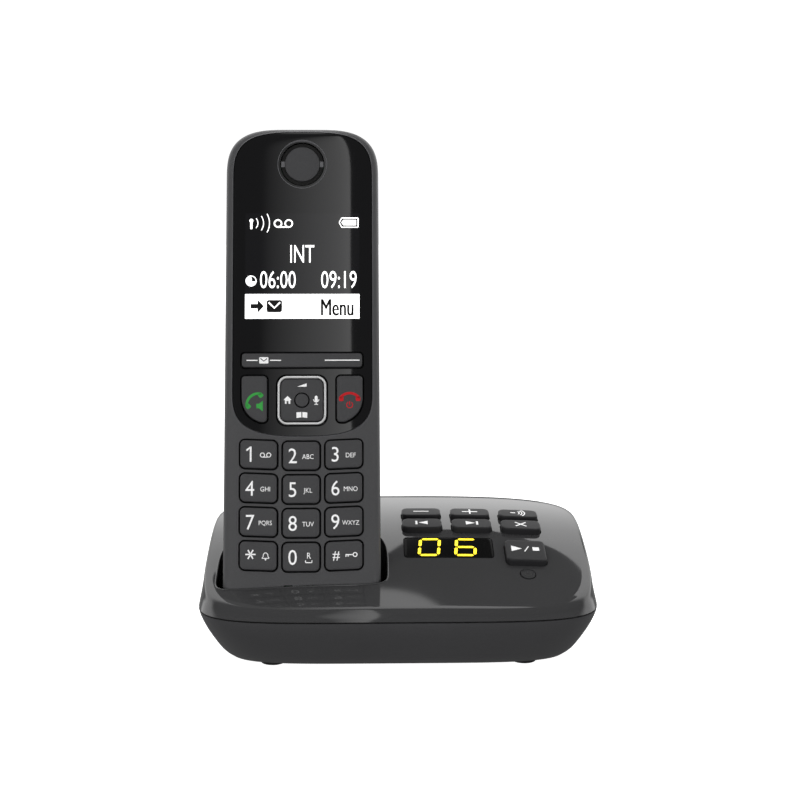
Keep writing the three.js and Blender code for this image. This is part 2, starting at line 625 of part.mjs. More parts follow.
// Outline of the glossy fascia, grown on every side: a superelliptic top and bottom.
function fasciaShape(grow) {
  const halfWidth = HANDSET_WIDTH / 2 - FASCIA_RIM + grow;
  const lowStart = FASCIA.bottom + FASCIA.bottomCurve;
  const highStart = HANDSET_LENGTH - FASCIA.topMargin - FASCIA.topCurve;
  const steps = 14;
  const points = [];
  for (let i = 0; i <= steps; i += 1) {
    const turn = Math.PI + (i / steps) * Math.PI;
    points.push(new THREE.Vector2(
      FASCIA.x + halfWidth * wave(Math.cos(turn), 2 / FASCIA.power),
      lowStart + (FASCIA.bottomCurve + grow) * wave(Math.sin(turn), 2 / FASCIA.power),
    ));
  }
  for (let i = 0; i <= steps; i += 1) {
    const turn = (i / steps) * Math.PI;
    points.push(new THREE.Vector2(
      FASCIA.x + halfWidth * wave(Math.cos(turn), 2 / OUTLINE_POWER),
      highStart + (FASCIA.topCurve + grow) * wave(Math.sin(turn), 2 / OUTLINE_POWER),
    ));
  }
  return new THREE.Shape(points);
}

const NAV_RING_INNER = NAV.size + 2 * NAV.ringGap;
const NAV_RING_OUTER = NAV_RING_INNER + 2 * NAV.ringWidth;
const CALL_NEAR = NAV_RING_OUTER / 2 + CALL_KEY.spacing; // a call key's inner and outer edge
const CALL_FAR = HANDSET_WIDTH / 2 - KEY_RIM;

// A call key's plate: a rounded rectangle whose outer lower corner follows the fascia's curve.
function callKeyPlate(side, grow, near, far) {
  const [width, height] = [CALL_FAR - CALL_NEAR + 2 * grow, CALL_KEY.height + 2 * grow];
  const outline = frontPlate(roundedRectangle(width, height, CALL_KEY.corner + grow), near, far);
  const limit = frontPlate(fasciaShape(FASCIA_RIM - KEY_RIM + grow), -OVERSHOOT, PARTING);
  const x = NAV.x + (side * (CALL_NEAR + CALL_FAR)) / 2;
  return solid(outline.translate(x, 0, CALL_KEY.y)).intersect(solid(limit));
}

function navPlate(size, corner, near, far) {
  return frontPlate(roundedRectangle(size, size, corner), near, far).translate(NAV.x, 0, NAV.y);
}

function frontDisc(radius, x, z, near, far, segments = 20) {
  return disc(radius, -far, -near, segments).applyMatrix4(frontView).translate(x, 0, z);
}

function softBarPlate(grow, near, far) {
  const width = HANDSET_WIDTH - 2 * SOFT_BAR.rim;
  const shape = roundedRectangle(width + 2 * grow, SOFT_BAR.height + 2 * grow, SOFT_BAR.corner + grow);
  return frontPlate(shape, near, far).translate(NAV.x, 0, SOFT_BAR.y);
}

// A digit key's plate in its place: the outer columns slope up towards the handset's sides.
function digitPlate(column, row, grow, near, far) {
  const side = column - 1;
  const [width, height] = [DIGIT_WIDTH + 2 * grow, DIGIT_KEY.height + 2 * grow];
  const shape = roundedRectangle(width, height, DIGIT_KEY.corner + grow);
  const slope = new THREE.Matrix4().makeShear(0, side * DIGIT_SMILE, 0, 0, 0, 0);
  const drop = side === 0 ? MIDDLE_COLUMN_DROP : 0;
  const z = DIGIT_BOTTOM_ROW + row * DIGIT_ROW_PITCH - drop;
  const geometry = frontPlate(shape, near, far);
  return geometry.applyMatrix4(slope).translate(DIGIT_X + side * (DIGIT_WIDTH + DIGIT_SPACING), 0, z);
}

function frontShell() {
  const ahead = solid(block([-FAR, FAR], [-FAR, PARTING - GAP / 2], [-FAR, FAR]));
  const recess = solid(frontPlate(fasciaShape(GAP), -OVERSHOOT, PARTING))
    .subtract(solid(handsetBody(FASCIA_THICKNESS + GAP)));
  const cutOut = solid(frontPlate(fasciaShape(-FASCIA_LEDGE), -OVERSHOOT, PARTING));
  let shell = solid(handsetBody()).subtract(solid(handsetBody(HANDSET_WALL))).intersect(ahead);
  shell = shell.subtract(recess).subtract(cutOut);
  for (let row = 0; row < DIGIT_NAMES.length; row += 1) {
    for (let column = 0; column < DIGIT_NAMES[row].length; column += 1) {
      shell = shell.subtract(solid(digitPlate(column, row, KEY_GAP, -OVERSHOOT, PARTING)));
    }
  }
  const micSlot = block(
    [NAV.x - MIC.slotWidth / 2, NAV.x + MIC.slotWidth / 2],
    [-OVERSHOOT, PARTING],
    [MIC.y - MIC.slotHeight / 2, MIC.y + MIC.slotHeight / 2],
  );
  return piece('handset_front_shell', shell.subtract(solid(micSlot)), LOOKS.housing);
}

function fascia() {
  let lens = solid(frontPlate(fasciaShape(0), -OVERSHOOT, PARTING))
    .intersect(solid(handsetBody()))
    .subtract(solid(handsetBody(FASCIA_THICKNESS)));
  const holes = [
    softBarPlate(KEY_GAP, -OVERSHOOT, PARTING),
    navPlate(NAV_RING_OUTER + 2 * KEY_GAP, NAV_RING_CORNER, -OVERSHOOT, PARTING),
    frontDisc(EARPIECE.holeRadius, NAV.x, EARPIECE_Y, -OVERSHOOT, PARTING, 24),
  ];
  for (const hole of holes) lens = lens.subtract(solid(hole));
  for (const side of [-1, 1]) lens = lens.subtract(callKeyPlate(side, KEY_GAP, -OVERSHOOT, PARTING));
  return piece('fascia_lens', lens, LOOKS.gloss);
}

const BAY_HALF_WIDTH = CELL_SPACING / 2 + CELL.radius + GAP;
const CELL_LENGTH = CELL.length + CELL.nubLength;
const BAY_TOP = BAY.bottom + BAY.springRoom + CELL_LENGTH + BAY.headRoom;

function bayBlock(grow, floor, far) {
  return block(
    [-BAY_HALF_WIDTH - grow, BAY_HALF_WIDTH + grow],
    [floor - grow, far],
    [BAY.bottom - grow, BAY_TOP + grow],
  );
}

function coverPlate(grow, near, far) {
  const width = HANDSET_WIDTH - 2 * COVER.rim;
  const height = BAY_TOP - BAY.bottom + 2 * (BAY.wall + COVER.margin);
  const shape = roundedRectangle(width + 2 * grow, height + 2 * grow, COVER.corner + grow);
  return frontPlate(shape, near, far, 2).translate(0, 0, (BAY_TOP + BAY.bottom) / 2);
}

function contactHole(side) {
  return contactPlate(side, CONTACT.width + 2 * GAP, CONTACT.reach + 2 * GAP, -OVERSHOOT, HANDSET_WALL + GAP);
}

function rearShell() {
  const behind = solid(block([-FAR, FAR], [PARTING + GAP / 2, FAR], [-FAR, FAR]));
  const skin = solid(handsetBody()).subtract(solid(handsetBody(HANDSET_WALL)));
  const inside = solid(handsetBody(COVER.thickness + 2 * GAP));
  let shell = skin.subtract(solid(coverPlate(GAP, COVER_CUT_DEPTH, FAR)));
  shell = shell.add(solid(bayBlock(BAY.wall, BAY.floorDepth, FAR)).intersect(inside));
  for (const z of [BAY.bottom, BAY_TOP + BAY.wall]) {
    const rib = block([-FAR, FAR], [PARTING, COVER_CUT_DEPTH - GAP], [z - BAY.wall, z]);
    shell = shell.add(solid(rib).intersect(solid(handsetBody(HANDSET_WALL / 2))));
  }
  shell = shell.subtract(solid(bayBlock(0, BAY.floorDepth, FAR))).intersect(behind);
  for (const side of [-1, 1]) shell = shell.subtract(solid(contactHole(side)));
  for (let i = 0; i < SLOT_COUNT; i += 1) {
    const offset = ((i - (SLOT_COUNT - 1) / 2) * SLOT_PITCH * LOUDSPEAKER.radius) / BASE_SPEAKER_RADIUS;
    const half = Math.sqrt((LOUDSPEAKER.radius - BOSS_WALL) ** 2 - offset ** 2);
    const slot = roundedRectangle(2 * half, SLOT_WIDTH / 2, SLOT_WIDTH / 4);
    const tool = frontPlate(slot, COVER_CUT_DEPTH, FAR).translate(0, 0, LOUDSPEAKER.y + offset);
    shell = shell.subtract(solid(tool));
  }
  return piece('handset_rear_shell', shell, LOOKS.housing);
}

function batteryCover() {
  const cover = solid(coverPlate(0, COVER_CUT_DEPTH, FAR))
    .intersect(solid(handsetBody()))
    .subtract(solid(handsetBody(COVER.thickness)));
  return piece('battery_cover', cover, LOOKS.housing);
}

// ---------------------------------------------------------------- handset keys

function digitKeys() {
  return DIGIT_NAMES.flatMap((names, row) => names.map((name, column) => {
    const cap = solid(digitPlate(column, row, 0, -DIGIT_KEY.lift, KEY_FOOT));
    const flange = solid(digitPlate(column, row, FLANGE, KEY_FOOT - FLANGE_THICKNESS, KEY_FOOT));
    return piece(name, cap.add(flange), LOOKS.key);
  }));
}

function callKey(name, side) {
  const cap = callKeyPlate(side, 0, -CALL_KEY.lift, KEY_FOOT);
  const flange = callKeyPlate(side, FLANGE, KEY_FOOT - FLANGE_THICKNESS, KEY_FOOT);
  return piece(name, cap.add(flange), LOOKS.key);
}

const NAV_FOOT = KEY_FOOT - 2 * GAP - FLANGE_THICKNESS / 2;

function navigationKey() {
  const pad = solid(navPlate(NAV.size, NAV.corner, -NAV.lift, NAV_FOOT))
    .subtract(solid(frontDisc(OK_RADIUS + KEY_GAP, NAV.x, NAV.y, -OVERSHOOT, OVERSHOOT)));
  const ring = solid(navPlate(NAV_RING_OUTER, NAV_RING_CORNER, -NAV.lift, FASCIA_THICKNESS))
    .subtract(solid(navPlate(NAV_RING_INNER, NAV.corner + NAV.ringGap, -OVERSHOOT, OVERSHOOT)));
  const carrierFar = NAV_FOOT + 2 * GAP + FLANGE_THICKNESS;
  const carrier = solid(navPlate(NAV_RING_OUTER, NAV.corner, NAV_FOOT + 2 * GAP, carrierFar))
    .subtract(solid(frontDisc(OK_RADIUS + 2 * KEY_GAP, NAV.x, NAV.y, -OVERSHOOT, OVERSHOOT)));
  const centre = frontDisc(OK_RADIUS, NAV.x, NAV.y, -NAV.lift - OK_LIFT, carrierFar - GAP / 2);
  return [
    piece('nav_carrier', carrier, LOOKS.key),
    piece('nav_pad', pad, LOOKS.key),
    piece('nav_ring', ring, LOOKS.chrome),
    piece('ok_key', centre, LOOKS.key),
  ];
}

function softKeyBar() {
  return piece('soft_key_bar', softBarPlate(0, -SOFT_BAR.lift, SOFT_BAR.depth), LOOKS.gloss);
}

// ---------------------------------------------------------------- handset inside

const KEYPAD_MAT_DEPTH = KEY_FOOT + KEY_TRAVEL + GAP;
const BOARD_DEPTH = KEYPAD_MAT_DEPTH + KEYPAD_MAT.thickness + GAP;

function standingPlate({ rim, bottom, top, corner, thickness }, depth) {
  const shape = roundedRectangle(HANDSET_WIDTH - 2 * rim, top - bottom, corner);
  return frontPlate(shape, depth, depth + thickness).translate(0, 0, (top + bottom) / 2);
}

function earpiece() {
  const { cap: capDepth, flange: flangeDepth } = EARPIECE_DEPTHS;
  const backDepth = FASCIA_THICKNESS + GAP;
  const profile = [
    [0, -backDepth], [EARPIECE.flangeRadius, -backDepth], [EARPIECE.flangeRadius, -flangeDepth],
    [EARPIECE.capRadius, -flangeDepth], [EARPIECE.capRadius, -capDepth], [0, -capDepth],
  ].map(([radius, height]) => new THREE.Vector2(radius, height));
  const cap = new THREE.LatheGeometry(profile, 24).rotateX(Math.PI / 2).applyMatrix4(frontView);
  const receiverNear = backDepth + GAP;
  const receiver = frontDisc(
    EARPIECE.receiverRadius, NAV.x, EARPIECE_Y, receiverNear, BOARD_DEPTH - GAP,
  );
  return [
    piece('earpiece_cap', cap.translate(NAV.x, 0, EARPIECE_Y), LOOKS.key),
    piece('earpiece_receiver', receiver, LOOKS.steel),
  ];
}

function lcdModule() {
  const width = HANDSET_WIDTH - 2 * LCD.rim + 2 * LCD.margin;
  const height = LCD_TOP - LCD.bottom + 2 * LCD.margin;
  const near = FASCIA_THICKNESS + 2 * GAP;
  const module = frontPlate(roundedRectangle(width, height, LCD.corner), near, near + LCD.thickness);
  module.translate(LCD.x, 0, (LCD.bottom + LCD_TOP) / 2);
  return piece('lcd_module', module, LOOKS.screen);
}

function batteryCell(name, side) {
  const profile = [
    [0, 0], [CELL.radius, 0], [CELL.radius, CELL.length], [CELL.nubRadius, CELL.length],
    [CELL.nubRadius, CELL_LENGTH], [0, CELL_LENGTH],
  ].map(([radius, height]) => new THREE.Vector2(radius, height));
  const shape = new THREE.LatheGeometry(profile, 16).rotateX(Math.PI / 2);
  const cell = piece(name, shape, LOOKS.cell);
  const bottom = BAY.bottom + BAY.springRoom;
  const depth = BAY.floorDepth + GAP + CELL.radius;
  if (side < 0) {
    cell.position.set(-CELL_SPACING / 2, depth, bottom);
  } else {
    cell.rotation.x = Math.PI;
    cell.position.set(CELL_SPACING / 2, depth, bottom + CELL_LENGTH);
  }
  return cell;
}

// The plate and two springs that join the cells at the bottom of the bay.
function batterySpring() {
  const depth = BAY.floorDepth + GAP + CELL.radius;
  const low = BAY.bottom + GAP;
  const half = BAY_HALF_WIDTH - GAP;
  const reach = [depth - SPRING.halfDepth, depth + SPRING.halfDepth];
  let spring = solid(block([-half, half], reach, [low, low + SPRING.thickness]));
  for (const side of [-1, 1]) {
    const top = BAY.bottom + BAY.springRoom - GAP;
    const coil = new THREE.CylinderGeometry(SPRING.tipRadius, SPRING.footRadius, top - low, 16)
      .rotateX(Math.PI / 2)
      .translate((side * CELL_SPACING) / 2, depth, (low + top) / 2);
    spring = spring.add(solid(coil));
  }
  return piece('battery_spring', spring, LOOKS.steel);
}

function loudspeaker() {
  const { y, radius, depth, rearRoom } = LOUDSPEAKER;
  const far = PARTING + handsetBack(y) - HANDSET_WALL - 2 * GAP - rearRoom;
  const shape = frontDisc(radius, 0, y, far - depth, far);
  return piece('handset_loudspeaker', shape, LOOKS.steel);
}

function handsetContact(name, side) {
  const low = CONTACT.recess;
  const shape = contactPlate(side, CONTACT.width, CONTACT.reach, low, low + CONTACT.thickness);
  return piece(name, shape, LOOKS.contact);
}

function handset() {
  const group = new THREE.Group();
  handsetFrame.decompose(group.position, group.quaternion, group.scale);
  group.add(frontShell(), rearShell(), batteryCover(), fascia(), lcdModule(), softKeyBar());
  group.add(...digitKeys(), callKey('talk_key', -1), callKey('end_key', 1));
  group.add(...navigationKey(), ...earpiece());
  group.add(
    piece('keypad_mat', standingPlate(KEYPAD_MAT, KEYPAD_MAT_DEPTH), LOOKS.silicone),
    piece('handset_circuit_board', standingPlate(BOARD, BOARD_DEPTH), LOOKS.board),
  );
  const micNear = HANDSET_WALL + GAP;
  const microphone = frontDisc(MIC.radius, NAV.x, MIC.y, micNear, micNear + MIC.depth, 16);
  group.add(piece('microphone', microphone, LOOKS.steel), loudspeaker(), batterySpring());
  group.add(batteryCell('battery_left', -1), batteryCell('battery_right', 1));
  for (const [name, side] of [['left', -1], ['right', 1]]) {
    group.add(handsetContact(`handset_contact_${name}`, side));
    group.add(chargingBlade(`base_contact_${name}`, side));
  }
  return group;
}

const phone = new THREE.Group();
phone.add(cradle(), handset());

export default phone;
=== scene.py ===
"""Looks of a cordless telephone handset that stands in its answering-machine cradle.

Surfaces are worked out in millimetres, in one of three frames: the cradle's own upright
frame, the handset's leaning frame and the control deck's tilted frame. They are put into
meshes in metres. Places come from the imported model's nodes and joints.
"""

from __future__ import annotations

import json
import logging
import math
from dataclasses import dataclass, field
from enum import Enum
from typing import Iterable, Sequence

import bpy
import numpy as np
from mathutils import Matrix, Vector

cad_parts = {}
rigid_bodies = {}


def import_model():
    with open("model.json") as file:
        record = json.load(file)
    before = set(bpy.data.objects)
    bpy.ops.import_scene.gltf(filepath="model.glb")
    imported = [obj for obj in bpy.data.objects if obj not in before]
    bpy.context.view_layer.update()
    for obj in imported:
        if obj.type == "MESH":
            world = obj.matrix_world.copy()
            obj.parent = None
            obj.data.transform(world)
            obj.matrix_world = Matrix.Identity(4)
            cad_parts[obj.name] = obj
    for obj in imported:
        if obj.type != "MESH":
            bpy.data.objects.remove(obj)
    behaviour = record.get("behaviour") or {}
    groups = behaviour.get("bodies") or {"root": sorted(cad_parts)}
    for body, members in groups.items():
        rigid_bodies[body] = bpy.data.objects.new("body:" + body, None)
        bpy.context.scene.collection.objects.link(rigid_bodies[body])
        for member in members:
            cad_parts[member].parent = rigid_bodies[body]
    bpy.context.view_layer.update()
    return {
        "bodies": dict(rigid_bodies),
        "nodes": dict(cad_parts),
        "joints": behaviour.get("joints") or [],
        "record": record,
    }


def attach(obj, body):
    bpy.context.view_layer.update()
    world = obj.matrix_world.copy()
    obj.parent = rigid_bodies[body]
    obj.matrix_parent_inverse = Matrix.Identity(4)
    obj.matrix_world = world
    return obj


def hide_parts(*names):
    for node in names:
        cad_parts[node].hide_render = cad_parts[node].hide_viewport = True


LOG = logging.getLogger("cordless_phone")
MM = 0.001
FAR = 120.0
Array = np.ndarray
Mesh = tuple[Array, list]


# ------------------------------------------------------------------ finishes


class Grain(Enum):
    """How a surface's fine texture is made."""

    SATIN = "satin"
    POLISHED = "polished"
    BRUSHED = "brushed"
    PRINTED = "printed"


@dataclass(frozen=True)
class Finish:
    """One procedural finish.

    Attributes:
        slot: The record's material slot; not used.
        color: Base colour, linear.
        rough: Middle of the roughness.
        grain: Kind of fine texture.
        metal: Metalness.
        coat: Weight of the clear coat.
        spread: How much the colour varies over the surface, as a share.
        bump: Strength of the fine texture.
        scale: Fine texture's frequency, in waves per metre.
        glow: Strength of the light that the surface gives off.
        ior: Index of refraction.
    """

    slot: str
    color: tuple[float, float, float]
    rough: float = 0.5
    grain: Grain = Grain.SATIN
    metal: float = 0.0
    coat: float = 0.0
    spread: float = 0.06
    bump: float = 0.15
    scale: float = 2400.0
    glow: float = 0.0
    ior: float = 1.5

    def build(self, name: str) -> bpy.types.Material:
        """Makes the material's nodes.

        Args:
            name: The material's name.

        Returns:
            The material.
        """
        material = bpy.data.materials.new(name)
        material.use_nodes = True
        tree = material.node_tree
        shader = tree.nodes["Principled BSDF"]
        place = tree.nodes.new("ShaderNodeTexCoord").outputs["Object"]
        if self.grain is Grain.BRUSHED:
            place = self._stretched(tree, place)
        fine = self._noise(tree, place, self.scale, 3.0)
        broad = self._noise(tree, place, self.scale / 40, 2.0)
        tone = self._ramp(tree, fine, 1 - self.spread, 1 + self.spread)
        drift = self._ramp(tree, broad, 1 - self.spread / 2, 1 + self.spread / 2)
        product = self.arithmetic(tree, "MULTIPLY", tone, drift)
        tint = tree.nodes.new("ShaderNodeVectorMath")
        tint.operation = "SCALE"
        tint.inputs[0].default_value = self.color
        tree.links.new(product, tint.inputs["Scale"])
        tree.links.new(tint.outputs[0], shader.inputs["Base Color"])
        worn = self._ramp(tree, broad, self.rough * 0.9, min(1.0, self.rough * 1.1))
        tree.links.new(worn, shader.inputs["Roughness"])
        if self.bump > 0:
            bump = tree.nodes.new("ShaderNodeBump")
            bump.inputs["Strength"].default_value = self.bump
            bump.inputs["Distance"].default_value = 0.00003
            tree.links.new(fine, bump.inputs["Height"])
            tree.links.new(bump.outputs[0], shader.inputs["Normal"])
        shader.inputs["Metallic"].default_value = self.metal
        shader.inputs["IOR"].default_value = self.ior
        shader.inputs["Coat Weight"].default_value = self.coat
        shader.inputs["Coat Roughness"].default_value = 0.03
        if self.glow > 0:
            shader.inputs["Emission Color"].default_value = (*self.color, 1)
            shader.inputs["Emission Strength"].default_value = self.glow
        return material

    @staticmethod
    def _stretched(tree: bpy.types.NodeTree, place: bpy.types.NodeSocket) -> bpy.types.NodeSocket:
        """Stretches the pattern along X, as brushing does.

        Args:
            tree: The material's node tree.
            place: The position.

        Returns:
            The stretched position.
        """
        mapping = tree.nodes.new("ShaderNodeMapping")
        mapping.inputs["Scale"].default_value = (0.04, 1, 1)
        tree.links.new(place, mapping.inputs["Vector"])
        return mapping.outputs[0]

    @staticmethod
    def _noise(tree: bpy.types.NodeTree, place: bpy.types.NodeSocket, scale: float,
               detail: float) -> bpy.types.NodeSocket:
        """Adds a noise pattern and gives its value.

        Args:
            tree: The material's node tree.
            place: The position.
            scale: How fine the pattern is.
            detail: How many finer layers it has.

        Returns:
            The noise value.
        """
        noise = tree.nodes.new("ShaderNodeTexNoise")
        noise.inputs["Scale"].default_value = scale
        noise.inputs["Detail"].default_value = detail
        tree.links.new(place, noise.inputs["Vector"])
        return noise.outputs["Fac"]

    @staticmethod
    def _ramp(tree: bpy.types.NodeTree, value: bpy.types.NodeSocket, low: float,
              high: float) -> bpy.types.NodeSocket:
        """Spreads a noise value between two numbers.

        Args:
            tree: The material's node tree.
            value: The noise value.
            low: Number at the low end.
            high: Number at the high end.

        Returns:
            The spread value.
        """
        node = tree.nodes.new("ShaderNodeMapRange")
        node.inputs["From Min"].default_value = 0.3
        node.inputs["From Max"].default_value = 0.7
        node.inputs["To Min"].default_value = low
        node.inputs["To Max"].default_value = high
        tree.links.new(value, node.inputs["Value"])
        return node.outputs[0]

    @staticmethod
    def arithmetic(tree: bpy.types.NodeTree, operation: str, a: bpy.types.NodeSocket,
              b: bpy.types.NodeSocket | float) -> bpy.types.NodeSocket:
        """Joins two values, the second of which may be a plain number.

        Args:
            tree: The node tree.
            operation: The node's operation.
            a: First value.
            b: Second value.

        Returns:
            The result.
        """
        node = tree.nodes.new("ShaderNodeMath")
        node.operation = operation
        tree.links.new(a, node.inputs[0])
        if isinstance(b, float):
            node.inputs[1].default_value = b
        else:
            tree.links.new(b, node.inputs[1])
        return node.outputs[0]


class Look(Enum):
    """The finishes of the phone's own surfaces."""

    HOUSING = Finish("housing", (0.052, 0.052, 0.054), rough=0.46, bump=0.35)
    CRADLE_TOP = Finish("cradle_top", (0.034, 0.034, 0.035), rough=0.04, grain=Grain.POLISHED,
                        bump=0.0, spread=0.03, ior=1.54)
    FASCIA = Finish("gloss_black", (0.0035, 0.0035, 0.004), rough=0.05, grain=Grain.POLISHED,
                    bump=0.0, spread=0.03, ior=1.5)
    WINDOW = Finish("gloss_black", (0.004, 0.004, 0.004), rough=0.15, grain=Grain.POLISHED,
                    bump=0.0, spread=0.03, ior=1.1)
    # A lighter copy of the housing's finish: a painted highlight on the fascia lip, the earpiece bezel and
    # its bridges.
    RIM = Finish("housing", (0.09, 0.09, 0.095), rough=0.25, bump=0.1)
    HANDSET_KEY = Finish("handset_keys", (0.043, 0.043, 0.045), rough=0.42, bump=0.3)
    CRADLE_KEY = Finish("cradle_keys", (0.017, 0.017, 0.018), rough=0.5, bump=0.25, ior=1.27)
    CHROME = Finish("chrome", (0.78, 0.78, 0.78), rough=0.25, grain=Grain.BRUSHED, metal=0.4,
                    bump=0.04)
    SCREEN = Finish("screen", (0.006, 0.006, 0.007), rough=0.05, bump=0.0, spread=0.08,
                    scale=1500)
    SCREEN_LIGHT = Finish("screen", (1.0, 1.0, 1.0), rough=0.3, bump=0.05, spread=0.02, glow=1.0)
    AMBER = Finish("amber_digits", (0.95, 0.72, 0.012), rough=0.35, bump=0.05, glow=1.3)
    WHITE = Finish("legend_white", (0.86, 0.86, 0.86), rough=0.5, grain=Grain.PRINTED, bump=0.1)
    BLACK = Finish("gloss_black", (0.004, 0.004, 0.004), rough=0.45, bump=0.1)
    # The green and red inks are print, yet they glow a little: painted light.
    GREEN = Finish("legend_green", (0.03, 0.27, 0.045), rough=0.5, grain=Grain.PRINTED, bump=0.1,
                   glow=0.1)
    RED = Finish("legend_red", (0.4, 0.006, 0.01), rough=0.5, grain=Grain.PRINTED, bump=0.1,
                 glow=0.1)
    BOARD = Finish("circuit_board", (0.012, 0.11, 0.035), rough=0.4, spread=0.2, bump=0.3)
    SILICONE = Finish("silicone", (0.02, 0.02, 0.021), rough=0.75)
    RUBBER = Finish("foot_rubber", (0.012, 0.012, 0.012), rough=0.85, bump=0.5)
    STEEL = Finish("steel", (0.5, 0.51, 0.52), rough=0.3, grain=Grain.BRUSHED, metal=1.0)
    SPEAKER = Finish("speaker_frame", (0.1, 0.1, 0.11), rough=0.45, grain=Grain.BRUSHED, metal=0.6)
    CONTACT = Finish("contact_metal", (0.72, 0.55, 0.26), rough=0.22, grain=Grain.BRUSHED,
                     metal=1.0, bump=0.05)
    CELL = Finish("cell_jacket", (0.03, 0.16, 0.26), rough=0.35, bump=0.1)
    SOCKET = Finish("socket_plastic", (0.008, 0.008, 0.008), rough=0.5, bump=0.3)


@dataclass
class Paint:
    """Makes each finish's material once and puts it on pieces."""

    made: dict[Look, bpy.types.Material] = field(default_factory=dict)

    def material(self, look: Look) -> bpy.types.Material:
        """Gives a finish's material.

        Args:
            look: The finish.

        Returns:
            Its material.
        """
        if look not in self.made:
            self.made[look] = look.value.build(look.name.lower())
        return self.made[look]

    def cad_node(self, node: bpy.types.Object, look: Look) -> None:
        """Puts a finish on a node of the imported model."""
        node.data.materials.clear()
        node.data.materials.append(self.material(look))


# ------------------------------------------------------------------ shapes


def wave(value: Array, power: float) -> Array:
    """Signed power of a cosine or sine: sign(v) times |v| to the power."""
    size = np.where(np.abs(value) < 1e-9, 0.0, np.abs(value))
    return np.sign(value) * size**power


def quarter(share: Array, power: float) -> Array:
    """Superellipse quarter: (1 - share^power)^(1/power), share held between 0 and 1."""
    return (1 - np.clip(share, 0, 1) ** power) ** (1 / power)


def ease(value: Array, low: float, high: float) -> Array:
    """Smooth step from 0 at low to 1 at high: 3t^2 - 2t^3."""
    t = np.clip((value - low) / (high - low), 0, 1)
    return t * t * (3 - 2 * t)


def closed_tube(rings: Array, low: Array, high: Array) -> Mesh:
    """A closed body through a stack of rings, ended by one point at each end.

    Args:
        rings: Points, levels by turns by three, anticlockwise seen from the high end.
        low: The point that closes the first ring.
        high: The point that closes the last ring.

    Returns:
        Vertices and faces.
    """
    levels, turns = rings.shape[:2]
    vertices = np.vstack([rings.reshape(-1, 3), low, high])
    start = (np.arange(levels - 1)[:, None] * turns + np.arange(turns)).ravel()
    after = (np.arange(levels - 1)[:, None] * turns + (np.arange(turns) + 1) % turns).ravel()
    walls = np.stack([start, after, after + turns, start + turns], 1)
    turn, following = np.arange(turns), (np.arange(turns) + 1) % turns
    base, top = levels * turns, (levels - 1) * turns
    floor = np.stack([np.full(turns, base), following, turn], 1)
    roof = np.stack([np.full(turns, base + 1), top + turn, top + following], 1)
    return vertices, [*walls.tolist(), *floor.tolist(), *roof.tolist()]


def rounded_outline(width: float, height: float, corner: float, steps: int = 10) -> Array:
    """A rounded rectangle about the origin, anticlockwise.

    Each corner is an arc of the corner's radius, and each straight side is the gap
    between two arcs, filled with points so that inner rings stay even.

    Args:
        width: Size along the first axis.
        height: Size along the second axis.
        corner: Radius of the corners.
        steps: Points along each arc.

    Returns:
        Points by two.
    """
    r = min(corner, width / 2 - 1e-3, height / 2 - 1e-3)
    centres = np.array([(1, -1), (1, 1), (-1, 1), (-1, -1)]) * (width / 2 - r, height / 2 - r)
    starts = np.array([-0.5, 0, 0.5, 1]) * math.pi
    angle = starts[:, None] + np.linspace(0, math.pi / 2, steps)
    arcs = centres[:, None] + r * np.stack([np.cos(angle), np.sin(angle)], -1)
    ends = np.roll(arcs[:, 0], -1, axis=0)
    share = np.linspace(0, 1, 8)[1:-1, None]
    sides = arcs[:, -1][:, None] * (1 - share) + ends[:, None] * share
    return np.concatenate([arcs, sides], 1).reshape(-1, 2)


def outward(outline: Array) -> Array:
    """Unit normals of an anticlockwise outline: the chord between its neighbours, turned out.

    Args:
        outline: Points of the outline.

    Returns:
        One unit normal for each point.
    """
    chord = np.roll(outline, -1, 0) - np.roll(outline, 1, 0)
    normal = np.stack([chord[:, 1], -chord[:, 0]], 1)
    return normal / np.linalg.norm(normal, axis=1, keepdims=True)


def profiled(outline: Array, profile: Sequence[tuple[float, float]],
             shrink: Sequence[float] = (0.8, 0.5, 0.2)) -> Array:
    """Carries a profile round an outline.

    Ring k is the outline moved inwards by the profile's inset k at height k; then the last
    ring is drawn towards its middle by each share of shrink at the same height.

    Args:
        outline: Points by two.
        profile: Pairs of inset and height, from the underside up.
        shrink: Shares of the last ring that close the top.

    Returns:
        Rings by points by three: first axis, second axis, height.
    """
    normal = outward(outline)
    inset = np.array([p[0] for p in profile])[:, None, None]
    plan = outline[None] - inset * normal[None]
    middle = plan[-1].mean(0)
    inner = middle + (plan[-1][None] - middle) * np.array(shrink)[:, None, None]
    plan = np.concatenate([plan, inner])
    heights = np.array([p[1] for p in profile] + [profile[-1][1]] * len(shrink))
    return np.concatenate([plan, np.broadcast_to(heights[:, None, None], plan.shape[:2] + (1,))], 2)


def soft_edge(radius: float, top: float, steps: int = 4) -> list[tuple[float, float]]:
    """A quarter round that ends at the top: inset r(1 - cos a), height top - r(1 - sin a)."""
    angle = np.linspace(0, math.pi / 2, steps + 1)
    return [(radius * (1 - math.cos(a)), top - radius * (1 - math.sin(a))) for a in angle]


def prism(outline: Array, low: float, high: float) -> Mesh:
    """A closed prism of an outline between two heights.

    Args:
        outline: Points of its plan.
        low: Height of its floor.
        high: Height of its roof.

    Returns:
        The closed mesh.
    """
    rings = profiled(outline, [(0, low), (0, high)], ())
    middle = outline.mean(0)
    return closed_tube(rings, np.array([*middle, low]), np.array([*middle, high]))


def block(low: Sequence[float], high: Sequence[float]) -> Mesh:
    """A box between two corners, as a prism of its plan."""
    (x0, y0, z0), (x1, y1, z1) = low, high
    return prism(np.array([(x0, y0), (x1, y0), (x1, y1), (x0, y1)]), z0, z1)


